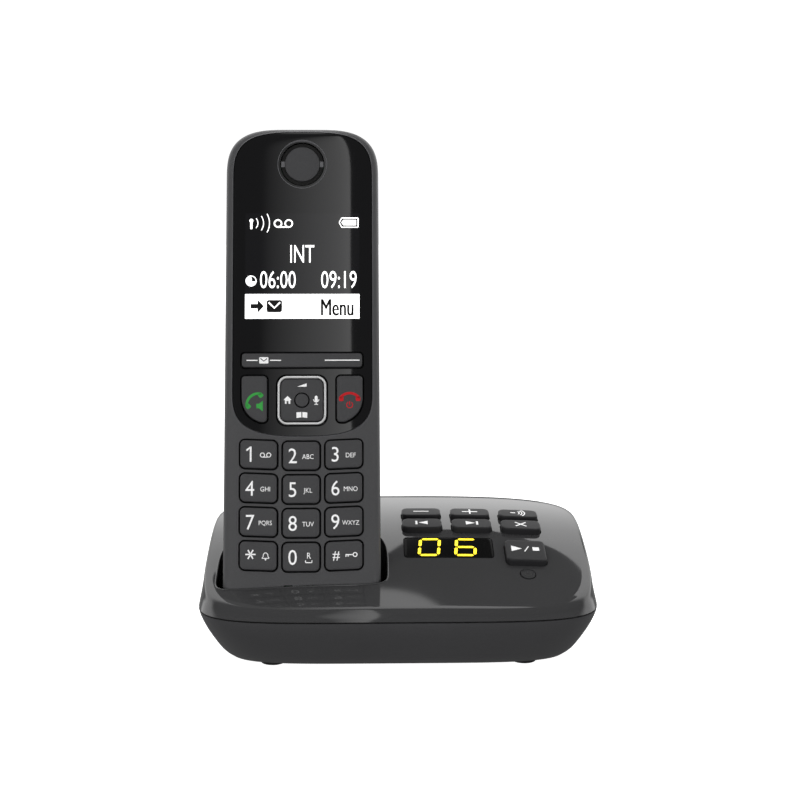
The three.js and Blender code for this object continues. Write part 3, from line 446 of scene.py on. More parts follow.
def lathe(profile: Sequence[tuple[float, float]], turns: int = 64) -> Mesh:
    """Turns a profile of radius and height, from below to above, round the height axis.

    Args:
        profile: Pairs of radius and height.
        turns: Steps round the axis.

    Returns:
        The closed mesh.
    """
    angle = np.linspace(0, 2 * math.pi, turns, endpoint=False)
    radius = np.array([p[0] for p in profile])[:, None]
    height = np.array([p[1] for p in profile])[:, None]
    rings = np.stack([radius * np.cos(angle), radius * np.sin(angle),
                      height + 0 * angle], -1)
    return closed_tube(rings, np.array([0, 0, profile[0][1]]), np.array([0, 0, profile[-1][1]]))


def ring_tube(outline: Array, section: Array) -> Mesh:
    """Carries a closed section of inset and height round a closed outline.

    Args:
        outline: The closed path.
        section: Pairs of inset and height.

    Returns:
        The closed ring.
    """
    normal = outward(outline)
    plan = outline[:, None] - section[None, :, :1] * normal[:, None]
    height = np.broadcast_to(section[None, :, 1:], plan.shape[:2] + (1,))
    points = np.concatenate([plan, height], 2)
    around, across = points.shape[:2]
    i = np.arange(around)[:, None]
    j = np.arange(across)[None]
    here, right = i * across + j, i * across + (j + 1) % across
    ahead, both = (i + 1) % around * across + j, (i + 1) % around * across + (j + 1) % across
    faces = np.stack([here, ahead, both, right], -1).reshape(-1, 4)
    return points.reshape(-1, 3), faces.tolist()


def merged(parts: Iterable[Mesh]) -> Mesh:
    """Several meshes as one.

    Args:
        parts: The meshes.

    Returns:
        One mesh.
    """
    vertices, faces, count = [], [], 0
    for part_vertices, part_faces in parts:
        vertices.append(part_vertices)
        faces += [[index + count for index in face] for face in part_faces]
        count += len(part_vertices)
    return np.vstack(vertices), faces


# ------------------------------------------------------------------ frames


@dataclass(frozen=True)
class Place:
    """A frame of the phone: a turn and an origin, in millimetres.

    Attributes:
        turn: Rotation from this frame to the upright frame.
        origin: This frame's origin in the upright frame.
    """

    turn: Array
    origin: Array

    def out(self, points: Array) -> Array:
        """Points of this frame in the upright frame."""
        return points @ self.turn.T + self.origin

    def inside(self, points: Array) -> Array:
        """Points of the upright frame in this frame."""
        return (points - self.origin) @ self.turn

    def box(self, node: bpy.types.Object) -> tuple[Array, Array]:
        """Lowest and highest corner of a node in this frame.

        Args:
            node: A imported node.

        Returns:
            Lowest and highest corner.
        """
        values = np.zeros(len(node.data.vertices) * 3)
        node.data.vertices.foreach_get("co", values)
        local = self.inside(values.reshape(-1, 3) / MM)
        return local.min(0), local.max(0)


def to_front(points: Array) -> Array:
    """From a drawing's across, along and height to the handset's across, depth and along."""
    return np.stack([points[..., 0], -points[..., 2], points[..., 1]], -1)


@dataclass
class Workshop:
    """Makes, joins and places pieces.

    Attributes:
        paint: The finishes.
    """

    frame: dict
    paint: Paint = field(default_factory=Paint)

    def node(self, name: str) -> bpy.types.Object:
        """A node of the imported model."""
        return self.frame["nodes"][name]

    def raw(self, name: str, mesh: Mesh, place: Place) -> bpy.types.Object:
        """Puts a mesh into the scene.

        Args:
            name: Name of the object.
            mesh: Vertices in millimetres and faces.
            place: The frame that the vertices are in.

        Returns:
            The object, at the origin.
        """
        data = bpy.data.meshes.new(name)
        data.from_pydata((place.out(mesh[0]) * MM).tolist(), [], mesh[1])
        data.update()
        result = bpy.data.objects.new(name, data)
        bpy.context.scene.collection.objects.link(result)
        return result

    def carve(self, target: bpy.types.Object, tools: Sequence[tuple[str, Mesh, Place]]) -> None:
        """Cuts tools off a solid or joins them to it, one after the other.

        Args:
            target: The solid.
            tools: Operation, mesh and frame of each tool.
        """
        for index, (operation, mesh, place) in enumerate(tools):
            tool = self.raw(f"tool_{index}", mesh, place)
            self.combine(target, tool, operation)

    def combine(self, target: bpy.types.Object, tool: bpy.types.Object, operation: str) -> None:
        """Applies one Boolean of two objects to the first and removes the second.

        Args:
            target: The object that changes.
            tool: The other object.
            operation: The Boolean's name.
        """
        modifier = target.modifiers.new("cut", "BOOLEAN")
        modifier.operation = operation
        modifier.solver = "MANIFOLD"
        modifier.object = tool
        self.settle(target)
        bpy.data.objects.remove(tool)

    @staticmethod
    def settle(target: bpy.types.Object) -> None:
        """Applies an object's modifiers to its mesh.

        Args:
            target: The object.
        """
        bpy.context.view_layer.update()
        graph = bpy.context.evaluated_depsgraph_get()
        result = bpy.data.meshes.new_from_object(target.evaluated_get(graph))
        target.modifiers.clear()
        target.data = result
        result.name = target.name

    def finish(self, piece: bpy.types.Object, look: Look, body: str,
               replaces: Sequence[str] = (), sharp: float = 32.0) -> bpy.types.Object:
        """Gives a piece its finish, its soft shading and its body.

        Args:
            piece: The piece.
            look: Its finish.
            body: The body that it rides on.
            replaces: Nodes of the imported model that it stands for.
            sharp: Edges that turn more than this many degrees stay sharp.

        Returns:
            The piece.
        """
        piece.data.materials.clear()
        piece.data.materials.append(self.paint.material(look))
        piece.data.shade_smooth()
        piece.data.set_sharp_from_angle(angle=math.radians(sharp))
        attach(piece, body)
        if replaces:
            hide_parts(*replaces)
        LOG.info("%s: %d faces, on %s", piece.name, len(piece.data.polygons), body)
        return piece

    def add(self, name: str, mesh: Mesh, place: Place, look: Look, body: str,
            replaces: Sequence[str] = (), sharp: float = 32.0) -> bpy.types.Object:
        """Makes and finishes a piece in one step."""
        return self.finish(self.raw(name, mesh, place), look, body, replaces, sharp)


# ------------------------------------------------------------------ legends


@dataclass(frozen=True)
class Ink:
    """Flat artwork: text and drawn icons, as thin plates in a drawing's plane.

    Attributes:
        thickness: Thickness of the artwork.
        lift: Height of its underside over the drawing's plane.
    """

    thickness: float = 0.03
    lift: float = 0.01

    def text(self, words: str, height: float, x: float, y: float, stretch: float = 1.0,
             bold: float = 0.0) -> Mesh:
        """Writes generic characters.

        Args:
            words: What to write.
            height: Height of a capital letter.
            x: Middle or start of the words.
            y: Middle of the capitals' height.
            stretch: Width as a share of the font's own.
            bold: Thickening of the upright strokes: a second copy stands this far aside.

        Returns:
            The characters' mesh.
        """
        curve = bpy.data.curves.new("words", "FONT")
        curve.body = words
        curve.align_x = "CENTER"
        curve.size = 1.0
        curve.resolution_u = 3
        holder = bpy.data.objects.new("words", curve)
        bpy.context.scene.collection.objects.link(holder)
        bpy.context.view_layer.update()
        graph = bpy.context.evaluated_depsgraph_get()
        flat = bpy.data.meshes.new_from_object(holder.evaluated_get(graph))
        bpy.data.objects.remove(holder)
        points = np.zeros(len(flat.vertices) * 3)
        flat.vertices.foreach_get("co", points)
        points = points.reshape(-1, 3)[:, :2]
        faces = [list(face.vertices) for face in flat.polygons]
        capital = 0.729
        points = (points - (0, capital / 2)) * height / capital * (stretch, 1) + (x, y)
        plain = self._thick(points, faces)
        return merged([plain, self._thick(points + (bold, 0), faces)]) if bold else plain

    def _thick(self, points: Array, faces: list) -> Mesh:
        """Gives a flat mesh a thickness: a floor, a roof and walls along its open edges.

        Args:
            points: Points of the flat mesh.
            faces: Its faces.

        Returns:
            The thick mesh.
        """
        count = len(points)
        floor = np.c_[points, np.full(count, self.lift)]
        roof = np.c_[points, np.full(count, self.lift + self.thickness)]
        area = sum(
            np.cross(points[f[1]] - points[f[0]], points[f[2]] - points[f[0]]) for f in faces[:200]
        )
        up = faces if area > 0 else [f[::-1] for f in faces]
        edges = {(a, b) for f in up for a, b in zip(f, f[1:] + f[:1])}
        open_edges = [(a, b) for a, b in edges if (b, a) not in edges]
        open_edges.sort()
        walls = [[a, b, b + count, a + count] for a, b in open_edges]
        lower = [f[::-1] for f in up]
        return np.vstack([floor, roof]), lower + [[i + count for i in f] for f in up] + walls

    def shape(self, outline: Sequence[tuple[float, float]], x: float = 0, y: float = 0,
              size: float = 1.0) -> Mesh:
        """A filled outline, anticlockwise, scaled and moved."""
        points = np.array(outline, float) * size + (x, y)
        return self._thick(points, [list(range(len(points)))])

    def bar(self, x0: float, x1: float, y0: float, y1: float) -> Mesh:
        """A filled rectangle."""
        return self.shape([(x0, y0), (x1, y0), (x1, y1), (x0, y1)])

    def arc(self, x: float, y: float, radius: float, width: float, start: float = 0,
            end: float = 360, steps: int = 20) -> Mesh:
        """A band along an arc, given in degrees: two edges at radius +- width / 2.

        Args:
            x: Middle across.
            y: Middle up.
            radius: Radius of its middle line.
            width: Width of the band.
            start: First angle.
            end: Last angle.
            steps: Points along it.

        Returns:
            The band.
        """
        angle = np.radians(np.linspace(start, end, steps + 1))
        ray = np.stack([np.cos(angle), np.sin(angle)], 1)
        points = np.vstack([ray * (radius - width / 2), ray * (radius + width / 2)]) + (x, y)
        n = steps + 1
        faces = [[i, i + n, i + n + 1, i + 1] for i in range(steps)]
        return self._thick(points, faces)

    def stroke(self, line: Sequence[tuple[float, float]], width: float) -> Mesh:
        """A band along a line: each point moved half a width to both sides of the line.

        Args:
            line: Points of the line.
            width: Width of the band.

        Returns:
            The band.
        """
        points = np.array(line, float)
        way = np.gradient(points, axis=0)
        side = np.stack([-way[:, 1], way[:, 0]], 1)
        side *= width / 2 / np.linalg.norm(side, axis=1, keepdims=True)
        n = len(points)
        faces = [[i, i + 1, i + n + 1, i + n] for i in range(n - 1)]
        return self._thick(np.vstack([points - side, points + side]), faces)

    def disc(self, x: float, y: float, radius: float) -> Mesh:
        """A filled circle."""
        angle = np.linspace(0, 2 * math.pi, 24, endpoint=False)
        return self.shape(np.stack([np.cos(angle), np.sin(angle)], 1) * radius, x, y)

    def tape(self, x: float, y: float, size: float) -> Mesh:
        """Two reels joined by a line.

        Args:
            x: Place across.
            y: Place up.
            size: Size of the sign.

        Returns:
            The sign.
        """
        r, w = size * 0.2, size * 0.08
        return merged([
            self.arc(x - size / 2 + r, y, r, w),
            self.arc(x + size / 2 - r, y, r, w),
            self.bar(x - size / 2 + r, x + size / 2 - r, y - r - w / 2, y - r + w / 2),
        ])

    def receiver(self, x: float, y: float, size: float, tilt: float) -> Mesh:
        """A handset: a bowed band with a thicker block at each end.

        Args:
            x: Place across.
            y: Place up.
            size: Size of the sign.
            tilt: How far it is turned.

        Returns:
            The sign.
        """
        angle = np.radians(np.linspace(145, 35, 15))
        line = np.stack([np.cos(angle), np.sin(angle) - 0.78], 1) * size * 0.56
        t = math.radians(tilt)
        spin = np.array([[math.cos(t), -math.sin(t)], [math.sin(t), math.cos(t)]])
        band = self.stroke(line @ spin.T + (x, y), size * 0.12)
        ends = []
        for sign in (-1, 1):
            pad = rounded_outline(size * 0.22, size * 0.22, size * 0.05, 4)
            pad = pad + (sign * size * 0.4, -size * 0.15)
            ends.append(self.shape(pad @ spin.T, x, y))
        return merged([band, *ends])


# ------------------------------------------------------------------ handset


@dataclass
class HandsetForm:
    """The handset's outer surface, in its own frame: across, depth and along.

    Attributes:
        place: The handset's frame.
        length: Length of the handset.
        width: Width at the bottom end.
    """

    place: Place
    length: float
    width: float
    taper: float = 0.5
    parting: float = 8.0
    back_low: float = 18.0
    back_high: float = 22.0
    straight_back: float = 35.0
    thickest: float = 100.0
    crown: float = 17.0
    outline_power: float = 3.1
    back_crown: float = 31.0
    back_power: float = 2.2
    front_crown: float = 9.0
    front_corner: float = 8.0
    back_corner: float = 3.0
    toe: float = 3.0

    def toe_inset(self, z: Array) -> Array:
        """Inset of the rounded bottom end."""
        return self.toe * (1 - quarter(1 - z / self.toe, 2))

    def half_width(self, z: Array) -> Array:
        """Half width: straight taper, superellipse crown, rounded toe.

        Args:
            z: Heights along the handset.

        Returns:
            Half widths there.
        """
        rise = (z - self.length + self.crown) / self.crown
        straight = self.width / 2 - self.taper * z / self.length
        return straight * quarter(rise, self.outline_power) - self.toe_inset(z)

    def front(self, z: Array) -> Array:
        """Depth of the front half, ahead of the parting line."""
        rise = (z - self.length + self.front_crown) / self.front_crown
        return self.parting * quarter(rise, self.outline_power) - self.toe_inset(z)

    def back(self, z: Array) -> Array:
        """Depth of the rear half, behind the parting line.

        Args:
            z: Heights along the handset.

        Returns:
            Depths there.
        """
        share = ease(z, self.straight_back, self.thickest)
        rise = (z - self.length + self.back_crown) / self.back_crown
        full = self.back_low + (self.back_high - self.back_low) * share
        return full * quarter(rise, self.back_power) - self.toe_inset(z)

    def depth(self, x: Array, z: Array) -> Array:
        """Depth of the front face at a point: the front half's superellipse section."""
        share = np.clip(np.abs(x) / np.maximum(self.half_width(z), 1e-3), 0, 0.9999)
        return self.parting - self.front(z) * quarter(share, self.front_corner)

    def solid(self, wall: float = 0.0, turns: int = 144, steps: int = 14) -> Mesh:
        """The closed outer body, or the same body with its skin moved in by a wall.

        Ring z has the section: half width times cos^(2/n), parting plus front or back
        depth times sin^(2/n), with n the corner power of the front or of the back.

        Args:
            wall: Distance that the skin moves in.
            turns: Points round a section.
            steps: Rings in the toe and in the crown.

        Returns:
            Vertices and faces in the handset's frame.
        """
        lift = 1 - np.cos(np.linspace(0.14, math.pi / 2, steps))
        low = self.toe * lift / lift[-1]
        middle = np.linspace(self.toe, self.length - 2 * self.crown, 26)[1:-1]
        fall = np.linspace(0, math.pi / 2, 3 * steps)
        high = self.length - 2 * self.crown * (1 - np.sin(fall)) - 0.02
        z = np.concatenate([[0.05], low, middle, high])[:, None]
        turn = self._turns(turns)[None]
        behind = np.sin(turn) > 0
        power = np.where(behind, 2 / self.back_corner, 2 / self.front_corner)
        x = (self.half_width(z) - wall) * wave(np.cos(turn), power)
        half = np.where(behind, self.back(z), self.front(z)) - wall
        y = self.parting + half * wave(np.sin(turn), power)
        along = np.broadcast_to(wall + z * (1 - 2 * wall / self.length), x.shape)
        rings = np.stack([x, y, along], -1)
        low_end = np.array([0, self.parting, wall])
        high_end = np.array([0, self.parting, self.length - wall])
        return closed_tube(rings, low_end, high_end)

    @staticmethod
    def _turns(count: int) -> Array:
        """Turns that crowd towards the section's middle planes, where the powers are steep."""
        even = np.linspace(0, 2 * math.pi, count, endpoint=False)
        return even - 0.23 * np.sin(4 * even)

    def pinned(self, mesh: Mesh) -> Mesh:
        """Lays a drawing onto the front face: its height is measured from the surface.

        Args:
            mesh: Across, along and height over the surface.

        Returns:
            The same mesh in the handset's frame.
        """
        points = to_front(mesh[0])
        points[:, 1] += self.depth(points[:, 0], points[:, 2])
        return points, mesh[1]


def key_outline(width: float, height: float, corner: float, slope: float = 0.0) -> Array:
    """A rounded rectangle whose sides stay upright while it rises across by a slope.

    Args:
        width: Width of the key.
        height: Height of the key.
        corner: Corner radius.
        slope: Rise across it.

    Returns:
        Points of the outline.
    """
    outline = rounded_outline(width, height, corner)
    outline[:, 1] += slope * outline[:, 0]
    return outline


@dataclass
class Handset:
    """The handset: shells, fascia, display, keys and legends.

    Attributes:
        shop: Where pieces are made.
        form: The outer surface.
    """

    shop: Workshop
    form: HandsetForm
    gap: float = 0.3
    key_gap: float = 0.55
    wall: float = 1.8
    rim: float = 3.0
    fascia_bottom: float = 57.35
    fascia_low_curve: float = 14.15
    fascia_high_curve: float = 15.6
    fascia_power: float = 3.0
    fascia_x: float = 0.2
    fascia_margin: float = 2.2
    lens: float = 0.8
    key_depth: float = 3.2
    ink: Ink = field(default_factory=Ink)

    def box(self, node: str) -> tuple[Array, Array]:
        """A node's box in the handset's frame."""
        return self.form.place.box(self.shop.node(node))

    def middle(self, node: str) -> tuple[float, float, float, float]:
        """Middle across and along, width and height of a node's front.

        Args:
            node: Name of the node.

        Returns:
            Middle across and along, width and height.
        """
        low, high = self.box(node)
        return ((low[0] + high[0]) / 2, (low[2] + high[2]) / 2,
                high[0] - low[0], high[2] - low[2])

    def fascia_outline(self, grow: float, steps: int = 40) -> Array:
        """The fascia's outline, grown on every side.

        The lower end is a half superellipse of power 3 and the upper end one of the
        crown's power, with straight sides between.

        Args:
            grow: Distance that the outline grows.
            steps: Points along each end.

        Returns:
            Points by two, anticlockwise.
        """
        half = self.form.width / 2 - self.rim + grow
        low = self.fascia_bottom + self.fascia_low_curve
        high = self.form.length - self.fascia_margin - self.fascia_high_curve
        turn = np.linspace(0, math.pi, steps)
        lower = np.stack([
            half * wave(np.cos(turn + math.pi), 2 / self.fascia_power),
            low + (self.fascia_low_curve + grow) * wave(np.sin(turn + math.pi), 2 / self.fascia_power),
        ], 1)
        upper = np.stack([
            half * wave(np.cos(turn), 2 / self.form.outline_power),
            high + (self.fascia_high_curve + grow) * wave(np.sin(turn), 2 / self.form.outline_power),
        ], 1)
        rise = np.linspace(low, high, 12)[1:-1]
        right = np.stack([np.full(10, half), rise], 1)
        left = np.stack([np.full(10, -half), rise[::-1]], 1)
        return np.concatenate([lower, right, upper, left]) + (self.fascia_x, 0)

    def tool(self, outline: Array, near: float = -FAR, far: float | None = None) -> Mesh:
        """A cutting prism of a front-view outline between two depths.

        Args:
            outline: The outline seen from the front.
            near: One depth.
            far: The other depth.

        Returns:
            The prism.
        """
        deep = self.form.parting if far is None else far
        vertices, faces = prism(outline, -deep, -near)
        return to_front(vertices), faces

    def digit_outline(self, node: str, grow: float) -> tuple[Array, tuple[float, float]]:
        """A digit key's outline and middle, from its node's box.

        Args:
            node: Name of the node.
            grow: How far to grow it.

        Returns:
            The outline and its middle.
        """
        x, z, width, height = self.middle(node)
        column = round((x - self.fascia_x) / 13.4)
        slope = 0.04 * column
        flange = 0.6
        tall = height - 2 * flange - abs(slope) * (width - 4)
        wide = width - 2 * flange
        outline = key_outline(wide + 2 * grow, tall + 2 * grow, 1.5 + grow, slope)
        return outline + (x, z), (x, z)

    def call_outline(self, node: str, grow: float) -> Array:
        """A call key's outline: a rounded rectangle cut by the fascia's curve.

        From the key's middle, a ray at each angle ends at the nearer of the rectangle's
        and the curve's edge.

        Args:
            node: The key's node.
            grow: Distance that the outline grows.

        Returns:
            Points by two.
        """
        x, z, width, height = self.middle(node)
        flange = 0.6
        centre = np.array([x, z])
        rectangle = rounded_outline(width - 2 * (flange - grow), height - 2 * (flange - grow), 1.2 + grow, 24)
        limit = self.fascia_outline(self.rim - 5.8 + grow, 200) - centre
        angle = np.linspace(-math.pi, math.pi, 140, endpoint=False)
        reach = np.minimum(self._reach(rectangle, angle), self._reach(limit, angle))
        return centre + np.stack([np.cos(angle), np.sin(angle)], 1) * reach[:, None]

    @staticmethod
    def _reach(outline: Array, angle: Array) -> Array:
        """Distance from the origin to an outline along each angle.

        Args:
            outline: Points round the origin.
            angle: The angles.

        Returns:
            Distance along each angle.
        """
        fine = np.concatenate([
            outline[:, None] * (1 - t) + np.roll(outline, -1, 0)[:, None] * t
            for t in (np.linspace(0, 1, 30, endpoint=False)[:, None],)
        ]).reshape(-1, 2)
        bearing = np.arctan2(fine[:, 1], fine[:, 0])
        order = np.argsort(bearing)
        return np.interp(angle, bearing[order], np.hypot(*fine.T)[order], period=2 * math.pi)

    def build(self) -> None:
        """Builds every piece of the handset."""
        self.front_shell()
        self.rear_shell()
        self.battery_cover()
        self.fascia()
        self.rim_line()
        self.earpiece()
        self.screen()
        self.soft_keys()
        self.call_keys()
        self.navigation()
        self.digits()

    DIGITS = ("key_1", "key_2", "key_3", "key_4", "key_5", "key_6", "key_7", "key_8", "key_9",
              "key_star", "key_0", "key_hash")

    def front_shell(self) -> None:
        """The front shell: skin ahead of the parting line, open under the fascia and keys."""
        place = self.form.place
        shell = self.shop.raw("handset_front", self.form.solid(), place)
        inner = self.shop.raw("inner", self.form.solid(self.wall, 96, 8), place)
        self.shop.combine(shell, inner, "DIFFERENCE")
        half = block((-FAR, self.form.parting - self.gap / 2, -FAR), (FAR, FAR, 2 * FAR))
        recess = self.shop.raw("recess", self.tool(self.fascia_outline(self.gap)), place)
        core = self.shop.raw("core", self.form.solid(self.lens + self.gap, 96, 8), place)
        self.shop.combine(recess, core, "DIFFERENCE")
        self.shop.carve(shell, [("DIFFERENCE", half, place)])
        self.shop.combine(shell, recess, "DIFFERENCE")
        holes = merged([self.tool(self.digit_outline(n, self.key_gap)[0]) for n in self.DIGITS])
        x, _, _, _ = self.middle("fascia_lens")
        slot = block((x - 5.7, -FAR, 10.1), (x + 5.7, self.form.parting, 10.6))
        opening = self.tool(self.fascia_outline(-1.5))
        self.shop.carve(shell, [
            ("DIFFERENCE", opening, place),
            ("DIFFERENCE", holes, place),
            ("DIFFERENCE", slot, place),
        ])
        self.shop.finish(shell, Look.HOUSING, "handset", ["handset_front_shell"], 40)

    def cover_outline(self, grow: float) -> Array:
        """The battery cover's outline, from its node."""
        x, z, width, height = self.middle("battery_cover")
        return rounded_outline(width + 2 * grow, height + 2 * grow, 5 + grow, 12) + (x, z)

    def rear_shell(self) -> None:
        """The rear shell: skin behind the parting line, the battery bay and sound slots."""
        place, form = self.form.place, self.form
        shell = self.shop.raw("handset_rear", form.solid(), place)
        inner = self.shop.raw("inner", form.solid(self.wall, 96, 8), place)
        self.shop.combine(shell, inner, "DIFFERENCE")
        node_low, node_high = self.box("battery_left")
        bay_low = (-(node_high[0] - node_low[0]) - 1.0, node_low[1] - self.gap, 46.5)
        bay_high = (-bay_low[0], FAR, node_high[2] + 3.6)
        tray = self.shop.raw("tray", block(np.subtract(bay_low, 1.3), np.add(bay_high, (1.3, 0, 1.3))), place)
        skin = self.shop.raw("skin", form.solid(1.6 + 2 * self.gap, 96, 8), place)
        self.shop.combine(tray, skin, "INTERSECT")
        front = block((-FAR, -FAR, -FAR), (FAR, form.parting + self.gap / 2, 2 * FAR))
        self.shop.carve(shell, [("DIFFERENCE", self.tool(self.cover_outline(self.gap), 16, FAR), place)])
        self.shop.combine(shell, tray, "UNION")
        ribs = [block((-FAR, form.parting, z - 1.3), (FAR, 15.7, z))
                for z in (bay_low[2], bay_high[2] + 1.3)]
        for rib in ribs:
            bar = self.shop.raw("rib", rib, place)
            limit = self.shop.raw("limit", form.solid(self.wall / 2, 96, 8), place)
            self.shop.combine(bar, limit, "INTERSECT")
            self.shop.combine(shell, bar, "UNION")
        contacts = [self.contact_hole(f"handset_contact_{s}") for s in ("left", "right")]
        speaker = self.middle("handset_loudspeaker")
        offsets = (np.arange(5) - 2) * 4 * 9 / 14
        slots = [
            self.tool(rounded_outline(2 * math.sqrt(7.8**2 - o * o), 0.8, 0.4, 6)
                      + (speaker[0], speaker[1] + o), 16, FAR)
            for o in offsets
        ]
        self.shop.carve(shell, [
            ("DIFFERENCE", block(bay_low, bay_high), place),
            ("DIFFERENCE", front, place),
            ("DIFFERENCE", merged(contacts), place),
            ("DIFFERENCE", merged(slots), place),
        ])
        self.shop.finish(shell, Look.HOUSING, "handset", ["handset_rear_shell"], 40)

    def contact_hole(self, node: str) -> Mesh:
        """The opening in the bottom end for a charging contact.

        Args:
            node: Name of the contact.

        Returns:
            The cutting mesh.
        """
        low, high = self.box(node)
        g = self.gap
        return block((low[0] - g, low[1] - g, -FAR), (high[0] + g, high[1] + g, self.wall + g))

    def battery_cover(self) -> None:
        """The battery cover with its rows of grip ribs."""
        place, form = self.form.place, self.form
        cover = self.shop.raw("battery_lid", self.tool(self.cover_outline(0), 16, FAR), place)
        outer = self.shop.raw("outer", form.solid(), place)
        inner = self.shop.raw("inner", form.solid(1.6, 96, 8), place)
        self.shop.combine(cover, outer, "INTERSECT")
        self.shop.combine(cover, inner, "DIFFERENCE")
        self.shop.finish(cover, Look.HOUSING, "battery_cover", ["battery_cover"], 40)
        x, z, _, height = self.middle("battery_cover")
        ribs = []
        for index in range(6):
            y = z + height / 2 - 7 - index * 1.7
            back = form.parting + form.back(np.array(y))
            outline = rounded_outline(15 - index * 1.6, 0.7, 0.34, 5)
            vertices, faces = closed_tube(
                profiled(outline, [(0, -0.5), *soft_edge(0.25, 0.3)], (0.5,)),
                np.array([0, 0, -0.5]), np.array([0, 0, 0.3]))
            points = np.stack([-vertices[:, 0] + x, vertices[:, 2] + back, vertices[:, 1] + y], 1)
            ribs.append((points, faces))
        self.shop.add("battery_lid_grip", merged(ribs), place, Look.HOUSING, "battery_cover")

    def fascia(self) -> None:
        """The glossy fascia: a thin lens of the front surface with openings for the keys."""
        place, form = self.form.place, self.form
        lens = self.shop.raw("fascia", self.tool(self.fascia_outline(0, 60)), place)
        outer = self.shop.raw("outer", form.solid(0, 192, 20), place)
        inner = self.shop.raw("inner", form.solid(self.lens, 96, 8), place)
        self.shop.combine(lens, outer, "INTERSECT")
        self.shop.combine(lens, inner, "DIFFERENCE")
        bar = self.middle("soft_key_bar")
        ring = self.middle("nav_ring")
        ear = self.middle("earpiece_cap")
        g = self.key_gap
        angle = np.linspace(0, 2 * math.pi, 72, endpoint=False)
        circle = np.stack([np.cos(angle), np.sin(angle)], 1)
        holes = [
            self.tool(rounded_outline(bar[2] + 2 * g, bar[3] + 2 * g, 1.4, 10) + bar[:2]),
            self.tool(rounded_outline(ring[2] + 2 * g, ring[3] + 2 * g, 3.3, 12) + ring[:2]),
            self.tool(circle * 7.1 + ear[:2]),
            self.tool(self.call_outline("talk_key", g)),
            self.tool(self.call_outline("end_key", g)),
        ]
        self.shop.carve(lens, [("DIFFERENCE", merged(holes), place)])
        self.shop.finish(lens, Look.FASCIA, "handset", ["fascia_lens"], 30)

    def rim_line(self) -> None:
        """The housing's rounded lip along the fascia, in a lighter copy of the housing's finish: a painted
        highlight.
        """
        angle = np.linspace(0, 2 * math.pi, 8, endpoint=False)
        section = np.stack([np.cos(angle) * 0.16 - 0.14, np.sin(angle) * 0.16 - 0.1], 1)
        mesh = ring_tube(self.fascia_outline(self.gap, 70), section)
        self.shop.add("fascia_lip", self.form.pinned(mesh), self.form.place, Look.RIM, "handset")

    def earpiece(self) -> None:
        """The earpiece: a satin disc, its groove with two bridges, the groove floored by a black ring of
        painted shade, and a bevelled bezel; bridges and bezel in a lighter grey, a painted highlight.
        """
        x, z, _, _ = self.middle("earpiece_cap")
        face = lathe([(5.6, -1.1), (5.6, -0.5), *[
            (5.6 - i, h) for i, h in soft_edge(0.3, -0.1)], (3, -0.1), (1, -0.1)])
        self._front_piece("earpiece_disc", face, x, z, Look.HANDSET_KEY, ["earpiece_cap"])
        # A black ring on the groove's floor: painted shade for the dark sound gap round the disc.
        groove = ring_tube(self._circle(6.75), np.array([
            (0, -1.1), (1.1, -1.1), (1.1, -0.62), (0.55, -0.7), (0, -0.62)]))
        self._front_piece("earpiece_groove", groove, x, z, Look.BLACK, ())
        # The bezel and the bridges take the lighter housing grey: a painted highlight.
        bezel = ring_tube(self._circle(7.5), np.array([
            (0.42, -0.5), (-0.42, -0.06), (-0.42, 0.03), (-0.3, 0.05), (0.42, -0.32)]))
        self._front_piece("earpiece_bezel", bezel, x, z, Look.RIM, ())
        bridges = [
            block((side * 6.2 - 0.55, -0.9, -0.6), (side * 6.2 + 0.55, 0.9, -0.34)) for side in (-1, 1)
        ]
        self._front_piece("earpiece_bridges", merged(bridges), x, z, Look.RIM, ())

    @staticmethod
    def _circle(radius: float, turns: int = 96) -> Array:
        """A circle about the origin."""
        angle = np.linspace(0, 2 * math.pi, turns, endpoint=False)
        return radius * np.stack([np.cos(angle), np.sin(angle)], 1)

    def _front_piece(self, name: str, mesh: Mesh, x: float, z: float, look: Look,
                     replaces: Sequence[str], body: str = "handset") -> None:
        """Adds a piece that is drawn about its own middle in the front view."""
        vertices = mesh[0] + (x, z, 0)
        self.shop.add(name, (to_front(vertices), mesh[1]), self.form.place, look, body, replaces)

    def screen(self) -> None:
        """The display: a framed picture area with its signs, and the light soft-label bar."""
        left, right, bottom, top, bar_top = -18.0, 18.3, 94.5, 128.4, 102.4
        self._print("display_picture", [self._gridded(left, right, bottom, top)], Look.SCREEN)
        high = Ink(0.03, 0.05)
        self._print("display_bar", [self._gridded(left, right, bottom, bar_top, 0.045)],
                    Look.SCREEN_LIGHT)
        signs = [
            high.bar(-16.45, -15.75, 123.3, 126.0),
            high.disc(-16.1, 126.0, 0.62),
            high.arc(-16.3, 125.2, 2.3, 0.28, -42, 42, 8),
            high.arc(-16.3, 125.2, 4.1, 0.28, -34, 34, 8),
            high.arc(-16.3, 125.2, 6.0, 0.28, -30, 30, 8),
            high.tape(-5.9, 125.1, 5.7),
            *self._battery(high, 15.0, 125.4),
            high.text("INT", 6.0, 0.0, 115.5, 0.6),
            self._clock(high, -16.1, 106.6),
            high.text("06:00", 5.8, -7.6, 107.2, 0.66),
            high.text("09:19", 5.8, 11.8, 107.2, 0.66),
        ]
        self._print("display_signs", signs, Look.SCREEN_LIGHT)
        dark = Ink(0.03, 0.085)
        arrow = [(-16.2, 97.8), (-14.0, 97.8), (-14.0, 96.4), (-12.0, 98.5), (-14.0, 100.6),
                 (-14.0, 99.2), (-16.2, 99.2)]
        envelope = rounded_outline(4.9, 3.9, 0.7, 5) + (-8.7, 98.5)
        labels = [dark.shape(arrow), dark.shape(envelope), dark.text("Menu", 5.6, 11.1, 98.3, 0.62, 0.25)]
        self._print("display_labels", labels, Look.BLACK)
        flap = Ink(0.02, 0.12).stroke([(-10.5, 99.7), (-8.7, 97.9), (-6.9, 99.7)], 0.5)
        self._print("display_flap", [flap], Look.SCREEN_LIGHT)

